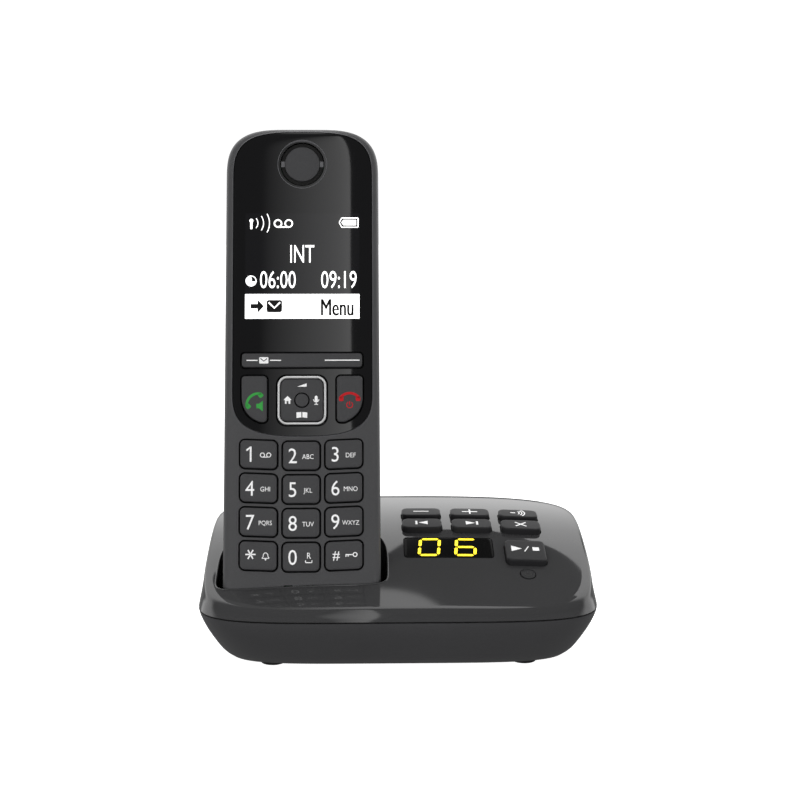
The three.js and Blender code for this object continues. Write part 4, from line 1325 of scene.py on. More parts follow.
    @staticmethod
    def _gridded(left: float, right: float, bottom: float, top: float, lift: float = 0.02) -> Mesh:
        """A thin plate whose face is divided across, so that it can follow the surface.

        Args:
            left: Left edge.
            right: Right edge.
            bottom: Lower edge.
            top: Upper edge.
            lift: Height over the surface.

        Returns:
            The plate.
        """
        x = np.linspace(left, right, 25)
        outline = np.concatenate([
            np.stack([x, np.full(25, bottom)], 1), np.stack([x[::-1], np.full(25, top)], 1)])
        low, high = np.c_[outline, np.full(50, lift - 0.015)], np.c_[outline, np.full(50, lift + 0.015)]
        n = 25
        strips = [[i, i + 1, 2 * n - 2 - i, 2 * n - 1 - i] for i in range(n - 1)]
        walls = [[i, (i + 1) % (2 * n), (i + 1) % (2 * n) + 2 * n, i + 2 * n] for i in range(2 * n)]
        roof = [[i + 2 * n for i in face] for face in strips]
        return np.vstack([low, high]), [face[::-1] for face in strips] + roof + walls

    @staticmethod
    def _battery(ink: Ink, x: float, y: float) -> list[Mesh]:
        """A full battery sign: a pointed case round a bar.

        Args:
            ink: What draws it.
            x: Place across.
            y: Place up.

        Returns:
            Parts of the sign.
        """
        case = [(-3.1, 0), (-2.3, -1.5), (2.9, -1.5), (2.9, 1.5), (-2.3, 1.5), (-3.1, 0)]
        lines = [ink.stroke([a, b], 0.32) for a, b in zip(case, case[1:])]
        moved = [(v + (x, y, 0), f) for v, f in lines]
        return [*moved, ink.shape([(-2.4, 0), (-1.8, -0.9), (2.3, -0.9), (2.3, 0.9), (-1.8, 0.9)], x, y)]

    @staticmethod
    def _clock(ink: Ink, x: float, y: float) -> Mesh:
        """A round clock face with its quarter left open for the hands.

        Args:
            ink: What draws it.
            x: Place across.
            y: Place up.

        Returns:
            The sign.
        """
        angle = np.radians(np.linspace(95, 355, 30))
        rim = np.stack([np.cos(angle), np.sin(angle)], 1) * 1.75
        points = np.vstack([rim, [(0.25, -0.15), (0.25, 0.5)]])
        ring = ink.arc(x, y, 1.6, 0.3, -10, 100, 8)
        return merged([ink.shape(points, x, y), ring])

    def _print(self, name: str, parts: Sequence[Mesh], look: Look, body: str = "handset",
               depth: float | None = None) -> None:
        """Prints artwork on the front surface, or on a flat face at a depth.

        Args:
            name: Name of the piece.
            parts: Meshes of the artwork.
            look: Its finish.
            body: What it rides on.
            depth: Depth of the flat face, if it is flat.
        """
        mesh = merged(parts)
        if depth is None:
            mesh = self.form.pinned(mesh)
        else:
            points = to_front(mesh[0])
            points[:, 1] += depth
            mesh = (points, mesh[1])
        self.shop.add(name, mesh, self.form.place, look, body, (), 20)

    def _cap(self, name: str, node: str, outline: Array, lift: float, body: str, look: Look,
             foot: float, edge: float = 0.3, flange: float = 0.0) -> None:
        """A key cap: straight walls, a rounded edge and a flat face.

        Args:
            name: The piece's name.
            node: The node that it stands for.
            outline: The cap's outline.
            lift: Height of its face over the front surface.
            body: The body that it rides on.
            look: Its finish.
            foot: Depth of its underside.
            edge: Radius of its upper edge.
            flange: Reach of the flange round its foot.
        """
        profile = [(0, -foot)]
        if flange:
            profile = [(-flange, -foot), (-flange, -foot + 0.8), (0, -foot + 0.8)]
        rings = profiled(outline, [*profile, *soft_edge(edge, lift)])
        centre = outline.mean(0)
        mesh = closed_tube(rings, np.array([*centre, -foot]), np.array([*centre, lift]))
        points = to_front(mesh[0])
        self.shop.add(name, (points, mesh[1]), self.form.place, look, body, [node])

    def soft_keys(self) -> None:
        """The rocking bar of the two soft keys, with its marks."""
        x, z, width, height = self.middle("soft_key_bar")
        outline = rounded_outline(width, height, 1.0, 8) + (x, z)
        self._cap("soft_keys", "soft_key_bar", outline, 0.34, "soft_key_bar", Look.HANDSET_KEY, 2.0)
        ink = self.ink
        marks = [
            ink.bar(x - 17.5, x - 14.0, z - 0.17, z + 0.17),
            ink.bar(x - 10.1, x - 6.6, z - 0.17, z + 0.17),
            ink.bar(x + 7.2, x + 18.2, z - 0.17, z + 0.17),
            ink.shape(rounded_outline(2.9, 2.0, 0.25, 3) + (x - 12.05, z)),
        ]
        self._print("soft_key_marks", marks, Look.WHITE, "soft_key_bar", -0.34)
        flap = Ink(0.02, 0.035).stroke([(x - 13.1, z + 0.6), (x - 12.05, z - 0.25), (x - 11, z + 0.6)], 0.3)
        self._print("soft_key_flap", [flap], Look.BLACK, "soft_key_bar", -0.34)

    def call_keys(self) -> None:
        """The talk and end keys with their coloured receivers, whose inks carry a faint painted glow."""
        for node, look in (("talk_key", Look.GREEN), ("end_key", Look.RED)):
            self._cap(f"{node}_cap", node, self.call_outline(node, 0), 0.7, node,
                      Look.HANDSET_KEY, self.key_depth, 0.35, 0.0)
            x, z, _, _ = self.middle(node)
            ink = self.ink
            if node == "talk_key":
                art = [ink.receiver(x - 0.6, z + 0.2, 6.6, 42),
                       ink.shape([(0, -0.7), (0.8, -0.7), (2.0, -1.7), (2.0, 1.7), (0.8, 0.7), (0, 0.7)],
                                 x + 0.7, z - 2.2)]
            else:
                art = [ink.receiver(x, z + 1.0, 6.6, 0),
                       ink.arc(x, z - 1.9, 0.95, 0.3, 120, 420, 14),
                       ink.bar(x - 0.15, x + 0.15, z - 2.0, z - 0.7)]
            self._print(f"{node}_mark", art, look, node, -0.7)

    def navigation(self) -> None:
        """The four-way key in its bright ring, with the round key in its middle."""
        x, z, width, _ = self.middle("nav_pad")
        place = self.form.place
        self.shop.paint.cad_node(self.shop.node("nav_carrier"), Look.HANDSET_KEY)
        outline = rounded_outline(width, width, 2.0, 12) + (x, z)
        _, high = self.box("nav_pad")
        rings = profiled(outline, [(0, -high[1]), *soft_edge(0.35, 0.7)])
        centre = np.array([x, z])
        mesh = closed_tube(rings, np.array([*centre, -high[1]]), np.array([*centre, 0.7]))
        pad = self.shop.raw("nav_pad_cap", (to_front(mesh[0]), mesh[1]), place)
        hole = self.tool(self._circle(2.46, 48) + centre, -FAR, FAR)
        self.shop.carve(pad, [("DIFFERENCE", hole, place)])
        self.shop.finish(pad, Look.HANDSET_KEY, "nav_pad", ["nav_pad"])
        angle = np.linspace(0, 2 * math.pi, 12, endpoint=False)
        section = np.stack([0.375 + 0.375 * np.cos(angle), 0.33 + 0.42 * np.sin(angle)], 1)
        section[section[:, 1] < 0.2, 1] = -0.75
        ring_x, ring_z, ring_width, _ = self.middle("nav_ring")
        ring = ring_tube(rounded_outline(ring_width, ring_width, 3.05, 16) + (ring_x, ring_z), section)
        self.shop.add("nav_bright_ring", (to_front(ring[0]), ring[1]), place, Look.CHROME, "nav_pad",
                      ["nav_ring"], 50)
        _, ok_high = self.box("ok_key")
        button = lathe([(2.1, -ok_high[1]), *[(2.1 - i, h) for i, h in soft_edge(0.2, 0.79)], (1, 0.77)], 40)
        self._front_piece("ok_button", button, x, z, Look.HANDSET_KEY, ["ok_key"], "ok_key")
        ink = self.ink
        book = [(-1.7, -1.0), (-0.15, -0.8), (-0.15, 0.9), (-1.7, 0.75)]
        art = [
            ink.shape([(-1.5, -0.3), (1.5, -0.3), (1.5, 0.75)], x, z + 4.6),
            ink.shape([(-1.3, 0), (-0.85, 0), (-0.85, -1.2), (-0.3, -1.2), (-0.3, -0.35), (0.3, -0.35),
                       (0.3, -1.2), (0.85, -1.2), (0.85, 0), (1.3, 0), (0, 1.25)], x - 4.5, z + 0.1),
            ink.shape(rounded_outline(0.95, 1.9, 0.47, 6) + (x + 4.5, z + 0.45)),
            ink.arc(x + 4.5, z + 0.3, 0.85, 0.25, 180, 360, 12),
            ink.bar(x + 4.37, x + 4.63, z - 1.3, z - 0.5),
            ink.bar(x + 3.9, x + 5.1, z - 1.45, z - 1.2),
            ink.shape(book, x, z - 4.6),
            ink.shape([(-a, b) for a, b in reversed(book)], x, z - 4.6),
        ]
        self._print("nav_marks", art, Look.WHITE, "nav_pad", -0.7)

    LETTERS = {"key_2": "ABC", "key_3": "DEF", "key_4": "GHI", "key_5": "JKL", "key_6": "MNO",
               "key_7": "PQRS", "key_8": "TUV", "key_9": "WXYZ"}

    def digits(self) -> None:
        """The twelve digit keys with their legends."""
        for node in self.DIGITS:
            outline, (x, z) = self.digit_outline(node, 0)
            self._cap(f"{node}_cap", node, outline, 0.6, node, Look.HANDSET_KEY, self.key_depth,
                      0.3, 0.0)
            self._print(f"{node}_legend", self._legend(node, x, z), Look.WHITE, node, -0.6)

    def _legend(self, node: str, x: float, z: float) -> list[Mesh]:
        """A digit key's artwork: the large character on the left, the small one on the right.

        Args:
            node: Name of the key.
            x: Middle across.
            z: Middle along.

        Returns:
            Parts of the artwork.
        """
        ink, sign = self.ink, node.removeprefix("key_")
        if sign == "star":
            spokes = [ink.stroke([(x - 2.4 - 1.6 * math.cos(a), z + 0.5 - 1.6 * math.sin(a)),
                                  (x - 2.4 + 1.6 * math.cos(a), z + 0.5 + 1.6 * math.sin(a))], 0.42)
                      for a in (0, math.pi / 3, 2 * math.pi / 3)]
            bell = [(-1.15, -0.75), (1.15, -0.75), (0.75, -0.2), (0.7, 0.45), (0.3, 0.95),
                    (-0.3, 0.95), (-0.7, 0.45), (-0.75, -0.2), (-1.15, -0.75)]
            outline = [ink.stroke([(x + 2.3 + a[0], z + a[1]), (x + 2.3 + b[0], z + b[1])], 0.24)
                       for a, b in zip(bell, bell[1:])]
            return [*spokes, *outline, ink.disc(x + 2.3, z - 1.15, 0.25)]
        if sign == "hash":
            mark = ink.text("#", 3.0, x - 2.4, z + 0.3, 0.95)
            key = [ink.arc(x + 3.5, z + 0.3, 0.62, 0.3),
                   ink.bar(x + 0.5, x + 2.9, z + 0.15, z + 0.45),
                   ink.bar(x + 0.5, x + 0.8, z - 0.4, z + 0.3),
                   ink.bar(x + 1.2, x + 1.5, z - 0.3, z + 0.3)]
            return [mark, *key]
        large = ink.text(sign, 4.9, x - 2.65, z + 0.1, 0.9)
        if sign == "1":
            large = [ink.bar(x - 2.75, x - 2.2, z - 2.3, z + 2.5),
                     ink.stroke([(x - 3.8, z + 1.25), (x - 2.5, z + 2.3)], 0.5)]
            return [*large, ink.tape(x + 2.2, z - 0.2, 3.3)]
        if sign == "0":
            bracket = [(x + 1.4, z - 1.0), (x + 1.4, z - 1.7), (x + 3.4, z - 1.7), (x + 3.4, z - 1.0)]
            lines = [ink.stroke([a, b], 0.25) for a, b in zip(bracket, bracket[1:])]
            return [large, ink.text("R", 1.95, x + 2.4, z + 0.5, 0.85), *lines]
        letters = self.LETTERS[node]
        size = {3: 1.55, 4: 1.45}[len(letters)]
        return [large, ink.text(letters, size, x + 2.15, z - 0.25, 0.9)]


# ------------------------------------------------------------------ cradle


@dataclass
class CradleForm:
    """The cradle's outer surface, in the upright frame.

    Attributes:
        place: The upright frame.
        width: Width of the plan.
        depth: Depth of the plan.
    """

    place: Place
    width: float
    depth: float
    corner: float = 5.0
    bottom: float = 1.1
    seam: float = 17.0
    undercut: float = 8.2
    undercut_power: float = 1.35
    crest: float = 22.6
    slope: float = 0.46
    bend_y: float = 5.0
    bend: float = 9.0
    setback: float = 3.0
    crown: float = 2.2
    crown_power: float = 2.5

    def top(self, x: Array, y: Array) -> Array:
        """Height of the top: level behind, a soft bend, then a straight slope, crowned across.

        The fall is slope times bend times ln(1 + exp((bend_y - y) / bend)), and the crown
        is its drop times (|x| over half the width) to its power.

        Args:
            x: Place across.
            y: Place in depth.

        Returns:
            Heights there.
        """
        fall = self.slope * self.bend * np.logaddexp(0, (self.bend_y - y) / self.bend)
        drop = self.crown * np.abs(x / (self.width / 2)) ** self.crown_power
        return self.seam + self.crest - fall - drop

    def plan(self, turn: Array, inset: Array) -> tuple[Array, Array]:
        """The plan's superellipse, drawn in by an inset.

        Args:
            turn: Angles round the plan.
            inset: How far it is drawn in.

        Returns:
            Places across and in depth.
        """
        power = 2 / self.corner
        return ((self.width / 2 - inset) * wave(np.cos(turn), power),
                (self.depth / 2 - inset) * wave(np.sin(turn), power))

    def solid(self, wall: float = 0.0, turns: int = 224) -> Mesh:
        """The closed outer body, or the same body with its skin moved in by a wall.

        Control rings go from the underside up the drawn-in lower shell, over the seam and
        the rounded ridge, and along the top to its middle. Between the control rings of the
        side a Catmull-Rom curve runs through them.

        Args:
            wall: Distance that the skin moves in.
            turns: Points round the plan.

        Returns:
            Vertices and faces.
        """
        even = np.linspace(0, 2 * math.pi, turns, endpoint=False)
        turn = (even - 0.2 * np.sin(4 * even))[None]
        low = np.linspace(0, 1, 14)[:, None]
        z = self.bottom + (self.seam - self.bottom) * low
        inset = self.undercut * (1 - low) ** self.undercut_power + wall
        foot = 0.9 * (1 - np.clip(low * 5, 0, 1)) ** 2
        x, y = self.plan(turn, inset + foot)
        lower = np.stack([x, y, np.broadcast_to(z + wall * (1 - low**6), x.shape)], -1)
        side = [self._side(turn, i, share, drop, wall)
                for i, share, drop in ((0, 0, 0), (1.1, 0.55, 0.6), (1.9, 1, 0.7), (3, 1, 0))]
        side.append(self._top_ring(turn, 0.978, wall))
        control = np.stack([2 * side[0] - side[1], *side])
        curved = self._curve(control, 7)
        scales = np.concatenate([np.linspace(0.97, 0.9, 5), np.linspace(0.88, 0.03, 44)])
        top = np.stack([self._top_ring(turn, s, wall) for s in scales])
        rings = np.concatenate([lower, curved[1:], top])
        middle = float(self.top(np.array(0.0), np.array(0.0))) - wall
        return closed_tube(rings, np.array([0, 0, rings[0, 0, 2]]), np.array([0, 0, middle]))

    def _side(self, turn: Array, inset: float, share: float, drop: float, wall: float) -> Array:
        """A control ring of the side: a share of the rise from the seam to the top's edge.

        Args:
            turn: Angles round the plan.
            inset: How far it is drawn in.
            share: Share of the rise.
            drop: Distance under the top.
            wall: Skin taken off.

        Returns:
            The ring.
        """
        x, y = self.plan(turn, inset + wall)
        z = self.seam + share * (self.top(x, y) - wall - drop - self.seam)
        return np.stack([x, y, z], -1)[0]

    def _top_ring(self, turn: Array, scale: float, wall: float) -> Array:
        """A ring of the top surface: the ridge's plan scaled about the middle.

        Args:
            turn: Angles round the plan.
            scale: Share of the plan.
            wall: Skin taken off.

        Returns:
            The ring.
        """
        x, y = self.plan(turn, self.setback + wall)
        x, y = x * scale, y * scale
        return np.stack([x, y, self.top(x, y) - wall], -1)[0]

    @staticmethod
    def _curve(control: Array, steps: int) -> Array:
        """Catmull-Rom through the control rings but the first and the last.

        Args:
            control: The control rings.
            steps: Rings from one to the next.

        Returns:
            All rings.
        """
        t = np.linspace(0, 1, steps, endpoint=False)[:, None, None]
        parts = []
        for a, b, c, d in zip(control, control[1:], control[2:], control[3:]):
            parts.append(0.5 * (2 * b + (c - a) * t + (2 * a - 5 * b + 4 * c - d) * t**2
                                + (3 * b - a - 3 * c + d) * t**3))
        return np.concatenate([*parts, control[-2][None]])


@dataclass
class Cradle:
    """The cradle: shells, control deck, counter window, keys, feet and sockets.

    Attributes:
        shop: Where pieces are made.
        form: The outer surface.
        deck: The control deck's frame.
        handset: The handset's surface, which the pocket follows.
    """

    shop: Workshop
    form: CradleForm
    deck: Place
    handset: HandsetForm
    gap: float = 0.3
    seam_gap: float = 0.46
    key_gap: float = 0.3
    wall: float = 2.0
    side_air: float = 2.1
    face_air: float = 1.0
    floor_air: float = 0.5
    key_lift: float = 2.0
    ink: Ink = field(default_factory=Ink)

    def build(self) -> None:
        """Builds every piece of the cradle."""
        self.top_shell()
        self.pocket_lip()
        self.bottom_shell()
        self.window()
        self.keys()
        self.power_key()
        self.feet()
        self.plain_nodes()

    def pocket(self, grow: float, floor: float, turns: int = 128) -> Mesh:
        """The prism that the handset's end stands in, with its air, grown by a wall.

        Args:
            grow: How far to grow it.
            floor: Height of its floor.
            turns: How finely it is divided.

        Returns:
            The prism.
        """
        form = self.handset
        turn = HandsetForm._turns(turns)
        behind = np.sin(turn) > 0
        power = np.where(behind, 2 / form.back_corner, 2 / form.front_corner)
        x = (form.width / 2 + self.side_air + grow) * wave(np.cos(turn), power)
        half = np.where(behind, form.back_low, form.parting) + self.face_air + grow
        y = form.parting + half * wave(np.sin(turn), power)
        low, high = (np.stack([x, y, np.full(turns, h)], 1) for h in (floor, 60.0))
        middle = np.array([0, form.parting, 0])
        return closed_tube(np.stack([low, high]), middle + (0, 0, floor), middle + (0, 0, 60))

    def deck_box(self, node: str) -> tuple[Array, Array]:
        """A node's box in the deck's frame."""
        return self.deck.box(self.shop.node(node))

    def key_plan(self, node: str, corner: float, grow: float) -> Array:
        """A deck key's outline in the deck's frame, from its node without its flange.

        Args:
            node: Name of the key.
            corner: Corner radius.
            grow: How far to grow it.

        Returns:
            The outline.
        """
        low, high = self.deck_box(node)
        size = high[:2] - low[:2] - 1.2 + 2 * grow
        return rounded_outline(size[0], size[1], corner + grow) + (low[:2] + high[:2]) / 2

    KEYS = {
        "base_key_minus": 2.0, "base_key_plus": 2.0, "base_key_page": 2.0,
        "base_key_previous": 2.0, "base_key_next": 2.0, "base_key_delete": 2.0,
        "base_key_play": 1.6, "base_key_power": 2.3,
    }

    def top_shell(self) -> None:
        """The glossy top shell with its pocket and its openings."""
        form, up = self.form, self.form.place
        shell = self.shop.raw("cradle_top", form.solid(), up)
        cavity = self.shop.raw("cavity", form.solid(self.wall, 128), up)
        well = self.shop.raw("well", self.pocket(self.wall, -self.floor_air - self.wall),
                             self.handset.place)
        slab = block((-FAR, -FAR, -10), (FAR, FAR, form.seam + self.seam_gap / 2))
        below = self.shop.raw("below", slab, up)
        self.shop.combine(below, self._copy(well), "DIFFERENCE")
        self.shop.combine(cavity, well, "DIFFERENCE")
        self.shop.combine(shell, cavity, "DIFFERENCE")
        self.shop.combine(shell, below, "DIFFERENCE")
        openings = [prism(self.key_plan(n, c, self.key_gap), -10, 40) for n, c in self.KEYS.items()]
        low, high = self.deck_box("base_display_window")
        window = rounded_outline(*(high[:2] - low[:2] + 0.2), 1.5, 8) + (low[:2] + high[:2]) / 2
        openings.append(prism(window, -10, 40))
        blades = [self._blade_slot(f"base_contact_{side}") for side in ("left", "right")]
        self.shop.carve(shell, [("DIFFERENCE", self.pocket(0, -self.floor_air), self.handset.place)])
        for opening in openings:
            self.shop.carve(shell, [("DIFFERENCE", opening, self.deck)])
        self.shop.carve(shell, [("DIFFERENCE", merged(blades), self.handset.place)])
        self.shop.finish(shell, Look.CRADLE_TOP, "cradle", ["base_top_shell"], 35)

    @staticmethod
    def _copy(piece: bpy.types.Object) -> bpy.types.Object:
        """A second object with the same shape.

        Args:
            piece: The first object.

        Returns:
            The second object.
        """
        twin = piece.copy()
        twin.data = piece.data.copy()
        bpy.context.scene.collection.objects.link(twin)
        return twin

    def _blade_slot(self, node: str) -> Mesh:
        """The slot that a charging blade comes up through.

        Args:
            node: Name of the blade.

        Returns:
            The cutting mesh.
        """
        low, high = self.handset.place.box(self.shop.node(node))
        trim = 0.7
        return block((low[0] + trim, low[1] + trim, -20), (high[0] - trim, high[1] - trim, 1))

    def pocket_lip(self) -> None:
        """The rounded lip round the pocket, which catches the light.

        The pocket's outline is carried up the handset's axis until it meets the top surface:
        each point climbs by its height under the surface, three times over.
        """
        outline = self.pocket(0.0, 0.0)[0][:128]
        points = outline.copy()
        axis = self.handset.place.turn[:, 2]
        for _ in range(6):
            world = self.handset.place.out(points)
            rise = self.form.top(world[:, 0], world[:, 1]) - world[:, 2]
            points[:, 2] += rise / axis[2] * 0.9
        world = self.handset.place.out(points)
        ahead = np.roll(world, -1, 0) - np.roll(world, 1, 0)
        ahead /= np.linalg.norm(ahead, axis=1, keepdims=True)
        across = np.cross(ahead, axis)
        across /= np.linalg.norm(across, axis=1, keepdims=True)
        angle = np.linspace(0, 2 * math.pi, 10, endpoint=False)
        spread = np.cos(angle)[None, :, None] * across[:, None] + np.sin(angle)[None, :, None] * axis
        rings = world[:, None] + 0.28 * spread + across[:, None] * 0.12 - axis * 0.16
        i = np.arange(128)[:, None]
        j = np.arange(10)[None]
        here, right = i * 10 + j, i * 10 + (j + 1) % 10
        ahead_index, both = (i + 1) % 128 * 10 + j, (i + 1) % 128 * 10 + (j + 1) % 10
        faces = np.stack([here, right, both, ahead_index], -1).reshape(-1, 4).tolist()
        self.shop.add("pocket_lip", (rings.reshape(-1, 3), faces), self.form.place,
                      Look.CRADLE_TOP, "cradle", (), 60)

    def bottom_shell(self) -> None:
        """The matte lower shell with its sound slots, screw wells and socket openings."""
        form, up = self.form, self.form.place
        shell = self.shop.raw("cradle_bottom", form.solid(), up)
        cavity = self.shop.raw("cavity", form.solid(self.wall, 128), up)
        self.shop.combine(shell, cavity, "DIFFERENCE")
        tools = [block((-FAR, -FAR, form.seam - self.seam_gap / 2), (FAR, FAR, FAR))]
        for side in ("left", "right"):
            low, high = up.box(self.shop.node(f"base_screw_{side}"))
            centre = (low[:2] + high[:2]) / 2
            tools.append(prism(Handset._circle(3.1, 48) + centre, -1, form.bottom + self.wall + 0.3))
        for node in ("line_socket", "power_socket"):
            low, high = up.box(self.shop.node(node))
            g = self.gap
            tools.append(block((low[0] - g, low[1] - 6, low[2] - g), (high[0] + g, 60, high[2] + g)))
        low, high = up.box(self.shop.node("base_speaker"))
        centre = (low[:2] + high[:2]) / 2
        for offset in (np.arange(5) - 2) * 4:
            half = math.sqrt(12.8**2 - offset**2)
            tools.append(prism(rounded_outline(2 * half, 1.6, 0.8, 8) + centre + (0, offset), 0, 4.4))
        for tool in tools:
            self.shop.carve(shell, [("DIFFERENCE", tool, up)])
        self.shop.finish(shell, Look.HOUSING, "cradle", ["base_bottom_shell"], 35)

    def surface(self, plan: Array, lift: float) -> Array:
        """Height over the deck of the top surface, lifted, at points of the deck's plan.

        Starting from the deck, each point climbs along the deck's normal by its vertical
        distance to the surface over the normal's rise, four times.

        Args:
            plan: Points by two in the deck's frame.
            lift: How far the surface is raised.

        Returns:
            Heights.
        """
        height = np.zeros(plan.shape[:-1])
        for _ in range(5):
            world = self.deck.out(np.concatenate([plan, height[..., None]], -1))
            miss = self.form.top(world[..., 0], world[..., 1]) + lift - world[..., 2]
            height = height + miss * 0.98
        return height

    def _on_surface(self, mesh: Mesh, lift: float) -> Mesh:
        """Lays a drawing on the raised surface: its height is measured from there.

        Args:
            mesh: The drawing.
            lift: Extra height.

        Returns:
            The laid drawing.
        """
        points = mesh[0].copy()
        points[:, 2] += self.surface(points[:, :2], lift)
        return points, mesh[1]

    def window(self) -> None:
        """The black counter window and its two lit digits."""
        low, high = self.deck_box("base_display_window")
        centre = (low[:2] + high[:2]) / 2
        size = high[:2] - low[:2]
        outline = rounded_outline(size[0] - 0.1, size[1] - 0.1, 1.4, 8) + centre
        rings = profiled(outline, [(0, -1.2), (0, -0.25), (0.1, -0.1), (0.3, -0.04)],
                         np.linspace(0.95, 0.1, 12))
        mesh = closed_tube(rings, np.array([*centre, -1.2]), np.array([*centre, -0.04]))
        self.shop.add("counter_window", self._on_surface(mesh, 0), self.deck, Look.WINDOW, "cradle",
                      ["base_display_window"])
        digits = [*self._digit("abcdef", centre[0] - 6.2, centre[1] + 0.1),
                  *self._digit("acdefg", centre[0] + 5.6, centre[1] + 0.1)]
        self.shop.add("counter_digits", self._on_surface(merged(digits), -0.02), self.deck,
                      Look.AMBER, "cradle", (), 20)

    @staticmethod
    def _digit(lit: str, x: float, y: float) -> list[Mesh]:
        """A seven-segment digit: pointed bars along a leaning figure of eight.

        Args:
            lit: Letters of the lit segments, a at the top and on clockwise, g across the middle.
            x: Middle of the digit across.
            y: Middle of the digit up the deck.

        Returns:
            The segments' meshes.
        """
        half, rise, thick, lean = 3.1, 4.4, 0.48, 0.09
        corners = {"a": ((-1, 1), (1, 1)), "b": ((1, 1), (1, 0)), "c": ((1, 0), (1, -1)),
                   "d": ((-1, -1), (1, -1)), "e": ((-1, 0), (-1, -1)), "f": ((-1, 1), (-1, 0)),
                   "g": ((-1, 0), (1, 0))}
        segments = []
        for letter in lit:
            start, end = (np.array(c, float) * (half, rise) for c in corners[letter])
            way = (end - start) / np.linalg.norm(end - start)
            side = np.array([-way[1], way[0]])
            a, b = start + way * 0.35, end - way * 0.35
            bar = np.array([a, a + (way - side) * thick, b - (way + side) * thick, b,
                            b - (way - side) * thick, a + (way + side) * thick])
            bar[:, 0] += lean * bar[:, 1]
            segments.append(Ink(0.05, 0.03).shape(bar, x, y))
        return segments

    def keys(self) -> None:
        """The seven raised keys, their faces following the raised surface, and their signs."""
        for node, corner in self.KEYS.items():
            if node == "base_key_power":
                continue
            outline = self.key_plan(node, corner, 0)
            self._deck_cap(node, outline, self.key_lift, 0.5)
            middle = outline.mean(0)
            signs = self._signs(node.removeprefix("base_key_"), *middle)
            mesh = self._on_surface(merged(signs), self.key_lift)
            self.shop.add(f"{node}_sign", mesh, self.deck, Look.WHITE, node, (), 20)

    def _deck_cap(self, node: str, outline: Array, lift: float, edge: float) -> None:
        """A deck key's cap: walls up from its foot, a rounded edge and a face on the surface.

        Args:
            node: Name of the key.
            outline: Its plan.
            lift: Height over the surface.
            edge: Size of its rounded edge.
        """
        low, _ = self.deck_box(node)
        rings = profiled(outline, [(0, -1.8), (0, -0.9), *soft_edge(edge, 0.0, 5)],
                         np.linspace(0.9, 0.1, 6))
        height = self.surface(rings[..., :2], lift)
        foot = rings[..., 2] < -1.5
        rings[..., 2] = np.where(foot, low[2], rings[..., 2] + height)
        centre = outline.mean(0)
        top = float(self.surface(centre[None], lift)[0])
        mesh = closed_tube(rings, np.array([*centre, low[2]]), np.array([*centre, top]))
        self.shop.add(f"{node}_cap", mesh, self.deck, Look.CRADLE_KEY, node, [node])

    def _signs(self, sign: str, x: float, y: float) -> list[Mesh]:
        """The printed signs of a deck key.

        Args:
            sign: Which sign.
            x: Place across.
            y: Place up.

        Returns:
            Parts of the sign.
        """
        ink = self.ink
        arrow = [(-1.3, -1.1), (1.3, 0), (-1.3, 1.1)]
        if sign == "minus":
            return [ink.bar(x - 2.6, x + 2.6, y - 0.3, y + 0.3)]
        if sign == "plus":
            return [ink.bar(x - 2.6, x + 2.6, y - 0.3, y + 0.3), ink.bar(x - 0.3, x + 0.3, y + 0.3, y + 1.9),
                    ink.bar(x - 0.3, x + 0.3, y - 1.9, y - 0.3)]
        if sign == "page":
            waves = [ink.arc(x - 1.0, y, r, 0.4, -48, 48, 10) for r in (1.5, 2.4, 3.3)]
            return [ink.bar(x - 2.6, x - 0.9, y - 0.3, y + 0.3), *waves]
        if sign == "previous":
            return [ink.bar(x - 2.2, x - 1.5, y - 1.2, y + 1.2),
                    ink.shape([(1.7, 1.2), (-1.3, 0), (1.7, -1.2)], x + 0.2, y)]
        if sign == "next":
            return [ink.bar(x + 1.5, x + 2.2, y - 1.2, y + 1.2),
                    ink.shape([(-1.7, -1.2), (1.3, 0), (-1.7, 1.2)], x - 0.2, y)]
        if sign == "delete":
            return [ink.stroke([(x - 1.8, y - 1.3), (x + 1.8, y + 1.3)], 0.5),
                    ink.stroke([(x - 1.8, y + 1.3), (x + 1.8, y - 1.3)], 0.5)]
        return [ink.shape(arrow, x - 2.9, y + 0.6, 1.3),
                ink.stroke([(x - 0.4, y - 0.9), (x + 1.1, y + 1.9)], 0.32),
                ink.bar(x + 2.3, x + 4.4, y - 0.3, y + 1.5)]

    def power_key(self) -> None:
        """The small round on-off key, nearly flush, with its moulded sign."""
        low, high = self.deck_box("base_key_power")
        centre = (low[:2] + high[:2]) / 2
        self._deck_cap("base_key_power", Handset._circle(2.3, 64) + centre, 0.22, 0.15)
        ink = Ink(0.04, 0.0)
        sign = [ink.arc(centre[0], centre[1], 1.0, 0.22, 120, 420, 18),
                ink.bar(centre[0] - 0.11, centre[0] + 0.11, centre[1] + 0.1, centre[1] + 1.25)]
        mesh = self._on_surface(merged(sign), 0.22)
        self.shop.add("base_key_power_sign", mesh, self.deck, Look.BLACK, "base_key_power", (), 20)

    def feet(self) -> None:
        """Four rubber feet: low discs with a rounded tread edge and a dished middle."""
        for end in ("front", "rear"):
            for side in ("left", "right"):
                node = f"foot_{end}_{side}"
                low, high = self.form.place.box(self.shop.node(node))
                centre = np.array([*(low[:2] + high[:2]) / 2, 0])
                profile = [(1.0, 0.25), (2.4, 0.2), (2.9, 0.0), (3.5, 0.0), (3.85, 0.12), (4.0, 0.45),
                           (4.0, high[2])]
                vertices, faces = lathe(profile, 48)
                self.shop.add(f"{node}_pad", (vertices + centre, faces), self.form.place, Look.RUBBER,
                              "cradle", [node])

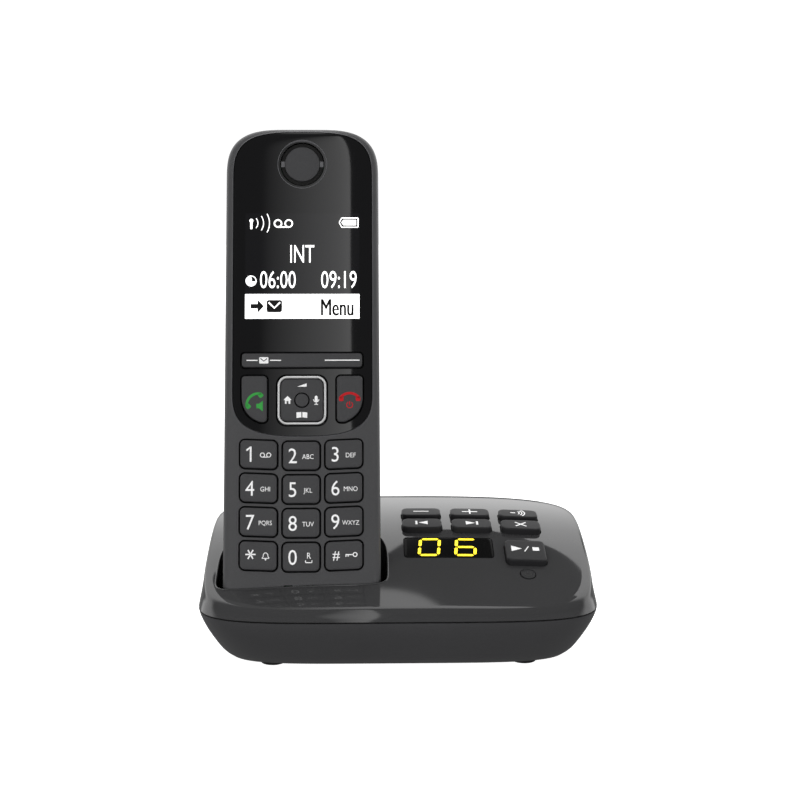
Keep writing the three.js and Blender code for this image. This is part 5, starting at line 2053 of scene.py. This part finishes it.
    PLAIN = {
        "base_screw_left": Look.STEEL, "base_screw_right": Look.STEEL, "base_speaker": Look.SPEAKER,
        "base_circuit_board": Look.BOARD, "base_key_mat": Look.SILICONE,
        "base_display_module": Look.SCREEN,
        "line_socket": Look.SOCKET, "power_socket": Look.SOCKET,
        "base_contact_left": Look.CONTACT, "base_contact_right": Look.CONTACT,
        "handset_contact_left": Look.CONTACT, "handset_contact_right": Look.CONTACT,
        "lcd_module": Look.SCREEN, "earpiece_receiver": Look.SPEAKER, "keypad_mat": Look.SILICONE,
        "handset_circuit_board": Look.BOARD, "microphone": Look.STEEL,
        "handset_loudspeaker": Look.SPEAKER, "battery_spring": Look.STEEL,
        "battery_left": Look.CELL, "battery_right": Look.CELL,
    }

    def plain_nodes(self) -> None:
        """Gives the carried-over nodes their finishes, and the sockets their pins."""
        for name, look in self.PLAIN.items():
            self.shop.paint.cad_node(self.shop.node(name), look)
            LOG.info("%s: kept, %s", name, look.name.lower())
        low, high = self.form.place.box(self.shop.node("line_socket"))
        x, z = (low[0] + high[0]) / 2, (low[2] + high[2]) / 2
        pins = [block((x + o - 0.2, low[1] + 1.5, z - 2.6), (x + o + 0.2, low[1] + 8, z - 2.2))
                for o in (np.arange(4) - 1.5) * 1.1]
        low, high = self.form.place.box(self.shop.node("power_socket"))
        x, z = (low[0] + high[0]) / 2, (low[2] + high[2]) / 2
        pins += [block((x + o - 0.3, low[1] + 1.5, z - 0.3), (x + o + 0.3, low[1] + 8, z + 0.3))
                 for o in (-1.3, 1.3)]
        self.shop.add("socket_pins", merged(pins), self.form.place, Look.CONTACT, "cradle")


# ------------------------------------------------------------------ studio


class Seen(Enum):
    """Which surfaces a light touches."""

    MATTE = "matte"
    GLOSSY = "glossy"
    BOTH = "both"


@dataclass(frozen=True)
class Softbox:
    """A rectangular area light that the camera doesn't see.

    Attributes:
        name: Its name.
        centre: Its middle, in metres.
        size: Width and height, in metres.
        power: Its power in watts.
        seen: Which surfaces it touches.
    """

    name: str
    centre: tuple[float, float, float]
    size: tuple[float, float]
    power: float
    seen: Seen = Seen.MATTE

    def build(self) -> None:
        """Adds the light, turned to the phone."""
        data = bpy.data.lights.new(self.name, "AREA")
        data.shape = "RECTANGLE"
        data.size, data.size_y = self.size
        data.energy = self.power
        lamp = bpy.data.objects.new(self.name, data)
        bpy.context.scene.collection.objects.link(lamp)
        lamp.location = self.centre
        way = Vector((0, 0, 0.06)) - lamp.location
        lamp.rotation_euler = way.to_track_quat("-Z", "Y").to_euler()
        lamp.visible_camera = False
        lamp.visible_glossy = self.seen is not Seen.MATTE
        lamp.visible_diffuse = self.seen is not Seen.GLOSSY


@dataclass(frozen=True)
class Card:
    """An upright glowing card that only glossy surfaces mirror.

    The glow rises across the card from the left edge's to the right edge's strength. The
    upper right corner is a quarter of an ellipse.

    Attributes:
        name: Its name.
        centre: Its middle, in metres.
        size: Width and height, in metres.
        corner: Width and height of the rounded corner, in metres.
        left: Strength at its left edge, seen from the phone's front.
        right: Strength at its right edge.
    """

    name: str
    centre: tuple[float, float, float]
    size: tuple[float, float]
    corner: tuple[float, float]
    left: float
    right: float

    def build(self) -> None:
        """Adds the card and keeps it out of the phone's own pieces."""
        half = np.array(self.size) / 2
        angle = np.linspace(0, math.pi / 2, 24)
        curve = half - self.corner + np.stack([np.cos(angle), np.sin(angle)], 1) * self.corner
        outline = np.vstack([(-half[0], -half[1]), (half[0], -half[1]), curve, (-half[0], half[1])])
        flat = np.stack([outline[:, 0], 0 * outline[:, 0], outline[:, 1]], 1)
        points = np.array(self.centre) + flat
        data = bpy.data.meshes.new(self.name)
        data.from_pydata(points.tolist(), [], [list(range(len(points)))])
        data.update()
        data.materials.append(self._glow())
        card = bpy.data.objects.new(self.name, data)
        bpy.context.scene.collection.objects.link(card)
        card.visible_camera = False
        card.visible_diffuse = False
        card.visible_shadow = False

    def _glow(self) -> bpy.types.Material:
        """A light whose strength rises across the card.

        Returns:
            The material.
        """
        material = bpy.data.materials.new(f"{self.name}_glow")
        material.use_nodes = True
        tree = material.node_tree
        tree.nodes.clear()
        place = tree.nodes.new("ShaderNodeTexCoord").outputs["Object"]
        split = tree.nodes.new("ShaderNodeSeparateXYZ")
        tree.links.new(place, split.inputs[0])
        rise = tree.nodes.new("ShaderNodeMapRange")
        rise.inputs["From Min"].default_value = self.centre[0] - self.size[0] / 2
        rise.inputs["From Max"].default_value = self.centre[0] + self.size[0] / 2
        rise.inputs["To Min"].default_value = self.left
        rise.inputs["To Max"].default_value = self.right
        tree.links.new(split.outputs["X"], rise.inputs["Value"])
        light = tree.nodes.new("ShaderNodeEmission")
        tree.links.new(rise.outputs[0], light.inputs["Strength"])
        out = tree.nodes.new("ShaderNodeOutputMaterial")
        tree.links.new(light.outputs[0], out.inputs["Surface"])
        return material


@dataclass
class Studio:
    """Floor, surround, lights and camera."""

    position: tuple[float, float, float] = (-0.0086, -0.416, 0.139)
    pitch: float = 8.0
    yaw: float = 1.2
    lens: float = 58.415
    wall_low_glow: float = 1.45
    wall_high_glow: float = 2.0
    wall_top: float = 0.69
    right_rise: float = 0.2
    left_rise: float = 0.2
    middle_rise: float = 0.165
    lip_glow: float = 1.7
    front_glow: float = 0.14
    floor_glow: float = 0.15
    edge_lean: float = -0.8
    softboxes: tuple[Softbox, ...] = (
        Softbox("front_left_box", (-0.75, -1.0, 0.35), (0.7, 0.7), 8.0),
        Softbox("front_right_box", (0.8, -0.9, 0.3), (0.7, 0.7), 5.5),
        Softbox("low_box", (0.0, -1.1, 0.08), (0.9, 0.3), 3.0),
        Softbox("top_box", (0.0, 0.0, 1.2), (0.9, 0.6), 3.0),
        Softbox("left_box", (-1.1, 0.1, 0.25), (0.35, 0.9), 1.2),
        Softbox("right_box", (1.1, 0.1, 0.25), (0.35, 0.9), 0.8),
    )
    cards: tuple[Card, ...] = (
        Card("fascia_card", (-0.069, -0.95, 1.57), (0.135, 2.86), (0.05, 2.3), 0.12, 2.2),
    )

    def build(self) -> None:
        """Sets the camera, the surround and the lights."""
        bpy.context.scene.view_settings.view_transform = "Standard"
        self.camera()
        self.surround()
        self.backdrop()
        for light in (*self.softboxes, *self.cards):
            light.build()

    def camera(self) -> None:
        """The camera, level but for its downward pitch."""
        data = bpy.data.cameras.new("camera")
        data.lens = self.lens
        data.sensor_width = 36
        data.clip_start = 0.01
        camera = bpy.data.objects.new("camera", data)
        bpy.context.scene.collection.objects.link(camera)
        camera.location = self.position
        camera.rotation_euler = (math.radians(90 - self.pitch), 0, math.radians(-self.yaw))
        bpy.context.scene.camera = camera

    def surround(self) -> None:
        """A white floor and a white dome that only the camera sees."""
        for name, mesh in (("floor", self._floor()), ("dome", self._dome())):
            data = bpy.data.meshes.new(name)
            data.from_pydata(mesh[0].tolist(), [], mesh[1])
            data.update()
            data.materials.append(self._white(name))
            item = bpy.data.objects.new(name, data)
            bpy.context.scene.collection.objects.link(item)
            item.visible_glossy = False
            item.visible_diffuse = False
            item.visible_shadow = False

    @staticmethod
    def _floor() -> Mesh:
        """A square under the feet."""
        return np.array([(-6, -6, 0), (6, -6, 0), (6, 6, 0), (-6, 6, 0)], float), [[0, 1, 2, 3]]

    @staticmethod
    def _dome() -> Mesh:
        """A sphere of six metres, its points on circles of latitude.

        Returns:
            The sphere.
        """
        angle = np.linspace(-1.5, 1.5, 12)[:, None]
        turn = np.linspace(0, 2 * math.pi, 24, endpoint=False)[None]
        rings = 6 * np.stack([np.cos(angle) * np.cos(turn), np.cos(angle) * np.sin(turn),
                              np.sin(angle) + 0 * turn], -1)
        return closed_tube(rings, np.array([0, 0, -6.0]), np.array([0, 0, 6.0]))

    @staticmethod
    def _white(name: str) -> bpy.types.Material:
        """A plain bright paper white, open to views from under the floor.

        Args:
            name: Name of the stage object.

        Returns:
            The material.
        """
        material = bpy.data.materials.new(f"{name}_paper")
        material.use_nodes = True
        tree = material.node_tree
        shader = tree.nodes["Principled BSDF"]
        shader.inputs["Base Color"].default_value = (0.6, 0.6, 0.6, 1)
        shader.inputs["Roughness"].default_value = 0.9
        shader.inputs["Emission Color"].default_value = (1, 1, 1, 1)
        shader.inputs["Emission Strength"].default_value = 1.0 if name == "dome" else 0.95
        if name == "floor":
            mix = tree.nodes.new("ShaderNodeMixShader")
            side = tree.nodes.new("ShaderNodeNewGeometry").outputs["Backfacing"]
            tree.links.new(side, mix.inputs[0])
            tree.links.new(shader.outputs[0], mix.inputs[1])
            tree.links.new(tree.nodes.new("ShaderNodeBsdfTransparent").outputs[0], mix.inputs[2])
            tree.links.new(mix.outputs[0], tree.nodes["Material Output"].inputs["Surface"])
        return material

    def backdrop(self) -> None:
        """Surround light by direction: a bright wall behind, dim in front and above.

        The wall's top edge stands higher at both sides and by the pocket, so its mirrored
        edge runs round the control deck. A softer patch lies nearly overhead, towards the
        left, for the lip in front of the pocket. Under the horizon the floor's light stays.
        """
        world = bpy.data.worlds.new("surround")
        bpy.context.scene.world = world
        world.use_nodes = True
        tree = world.node_tree
        way = tree.nodes.new("ShaderNodeTexCoord").outputs["Generated"]
        split = tree.nodes.new("ShaderNodeSeparateXYZ")
        tree.links.new(way, split.inputs[0])
        x, y, z = split.outputs
        leaned = Finish.arithmetic(tree, "MULTIPLY", z, self.edge_lean)
        right = Finish.arithmetic(tree, "ADD", leaned, x)
        rises = [self._range(tree, right, -0.435, -0.428, 0, -self.right_rise),
                 self._range(tree, x, -0.34, -0.24, -self.left_rise, 0),
                 self._range(tree, x, 0.005, 0.06, -self.middle_rise, 0)]
        height = z
        for rise in rises:
            height = Finish.arithmetic(tree, "ADD", height, rise)
        behind = self._range(tree, y, -0.1, 0.15, 0, 1)
        low = self._range(tree, height, self.wall_top - 0.004, self.wall_top + 0.004, 1, 0)
        wall = Finish.arithmetic(tree, "MULTIPLY", behind, low)
        full = self._range(tree, z, 0.25, 0.8, self.wall_low_glow, self.wall_high_glow)
        wall = Finish.arithmetic(tree, "MULTIPLY", wall, full)
        reach = self._range(tree, x, 0.0, 0.3, 0, -0.08)
        over = self._range(tree, Finish.arithmetic(tree, "ADD", z, reach), 0.902, 0.906, 0, self.lip_glow)
        fade = self._range(tree, x, -0.16, 0.03, 0.1, 1)
        patch = Finish.arithmetic(tree, "MULTIPLY", over, fade)
        patch = Finish.arithmetic(tree, "MULTIPLY", patch, behind)
        glow = Finish.arithmetic(tree, "ADD", Finish.arithmetic(tree, "MAXIMUM", wall, patch),
                                 self.front_glow)
        floor = self._range(tree, z, -0.12, 0.0, self.floor_glow, 1)
        strength = Finish.arithmetic(tree, "MULTIPLY", glow, floor)
        background = tree.nodes["Background"]
        background.inputs["Color"].default_value = (1, 1, 1, 1)
        tree.links.new(strength, background.inputs["Strength"])

    @staticmethod
    def _range(tree: bpy.types.NodeTree, value: bpy.types.NodeSocket, low: float, high: float,
               start: float, end: float) -> bpy.types.NodeSocket:
        """Spreads a value between low and high smoothly between start and end.

        Args:
            tree: The node tree.
            value: The value.
            low: Where it starts.
            high: Where it ends.
            start: Result at the start.
            end: Result at the end.

        Returns:
            The result.
        """
        node = tree.nodes.new("ShaderNodeMapRange")
        node.interpolation_type = "SMOOTHSTEP"
        node.inputs["From Min"].default_value = low
        node.inputs["From Max"].default_value = high
        node.inputs["To Min"].default_value = start
        node.inputs["To Max"].default_value = end
        tree.links.new(value, node.inputs["Value"])
        return node.outputs[0]


# ------------------------------------------------------------------ assembly


def joint(frame: dict, name: str) -> dict:
    """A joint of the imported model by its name."""
    return next(j for j in frame["joints"] if j["name"] == name)


def tilted(normal: Array, point: Array) -> Place:
    """A frame whose height axis is a direction in the upright frame's YZ plane.

    Args:
        normal: The height axis.
        point: The origin.

    Returns:
        The frame.
    """
    height = normal / np.linalg.norm(normal)
    across = np.array([1.0, 0, 0])
    return Place(np.stack([across, np.cross(height, across), height], 1), point)


def handset_place(frame: dict) -> Place:
    """The handset's frame, from its slide and its soft key's pivot.

    Args:
        frame: The loaded frame.

    Returns:
        The handset's frame.
    """
    rock = joint(frame, "soft_key_rock")
    place = tilted(np.array(joint(frame, "handset_lift")["axis"], float), np.zeros(3))
    pivot = np.array([0.1, 1.0, 81.2])
    return Place(place.turn, np.array(rock["pos_m"]) / MM - place.out(pivot))


def deck_place(frame: dict) -> Place:
    """The control deck's frame: its key's axis, and its board's upper face as the plan.

    Args:
        frame: The loaded frame.

    Returns:
        The deck's frame.
    """
    axis = -np.array(joint(frame, "base_key_play_press")["axis"], float)
    place = tilted(axis, np.zeros(3))
    _, high = place.box(frame["nodes"]["base_circuit_board"])
    return Place(place.turn, place.turn[:, 2] * high[2])


def main() -> None:
    """Builds the studio and both halves of the phone."""
    logging.basicConfig(level=logging.INFO, format="%(message)s")
    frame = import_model()
    shop = Workshop(frame)
    Studio().build()
    place = handset_place(frame)
    low, high = place.box(frame["nodes"]["handset_front_shell"])
    form = HandsetForm(place, length=high[2] - 0.34, width=high[0] - low[0])
    Handset(shop, form).build()
    upright = Place(np.eye(3), np.zeros(3))
    low, high = upright.box(frame["nodes"]["base_bottom_shell"])
    cradle_form = CradleForm(upright, high[0] - low[0], high[1] - low[1])
    Cradle(shop, cradle_form, deck_place(frame), form).build()


if __name__ == "__main__":
    main()
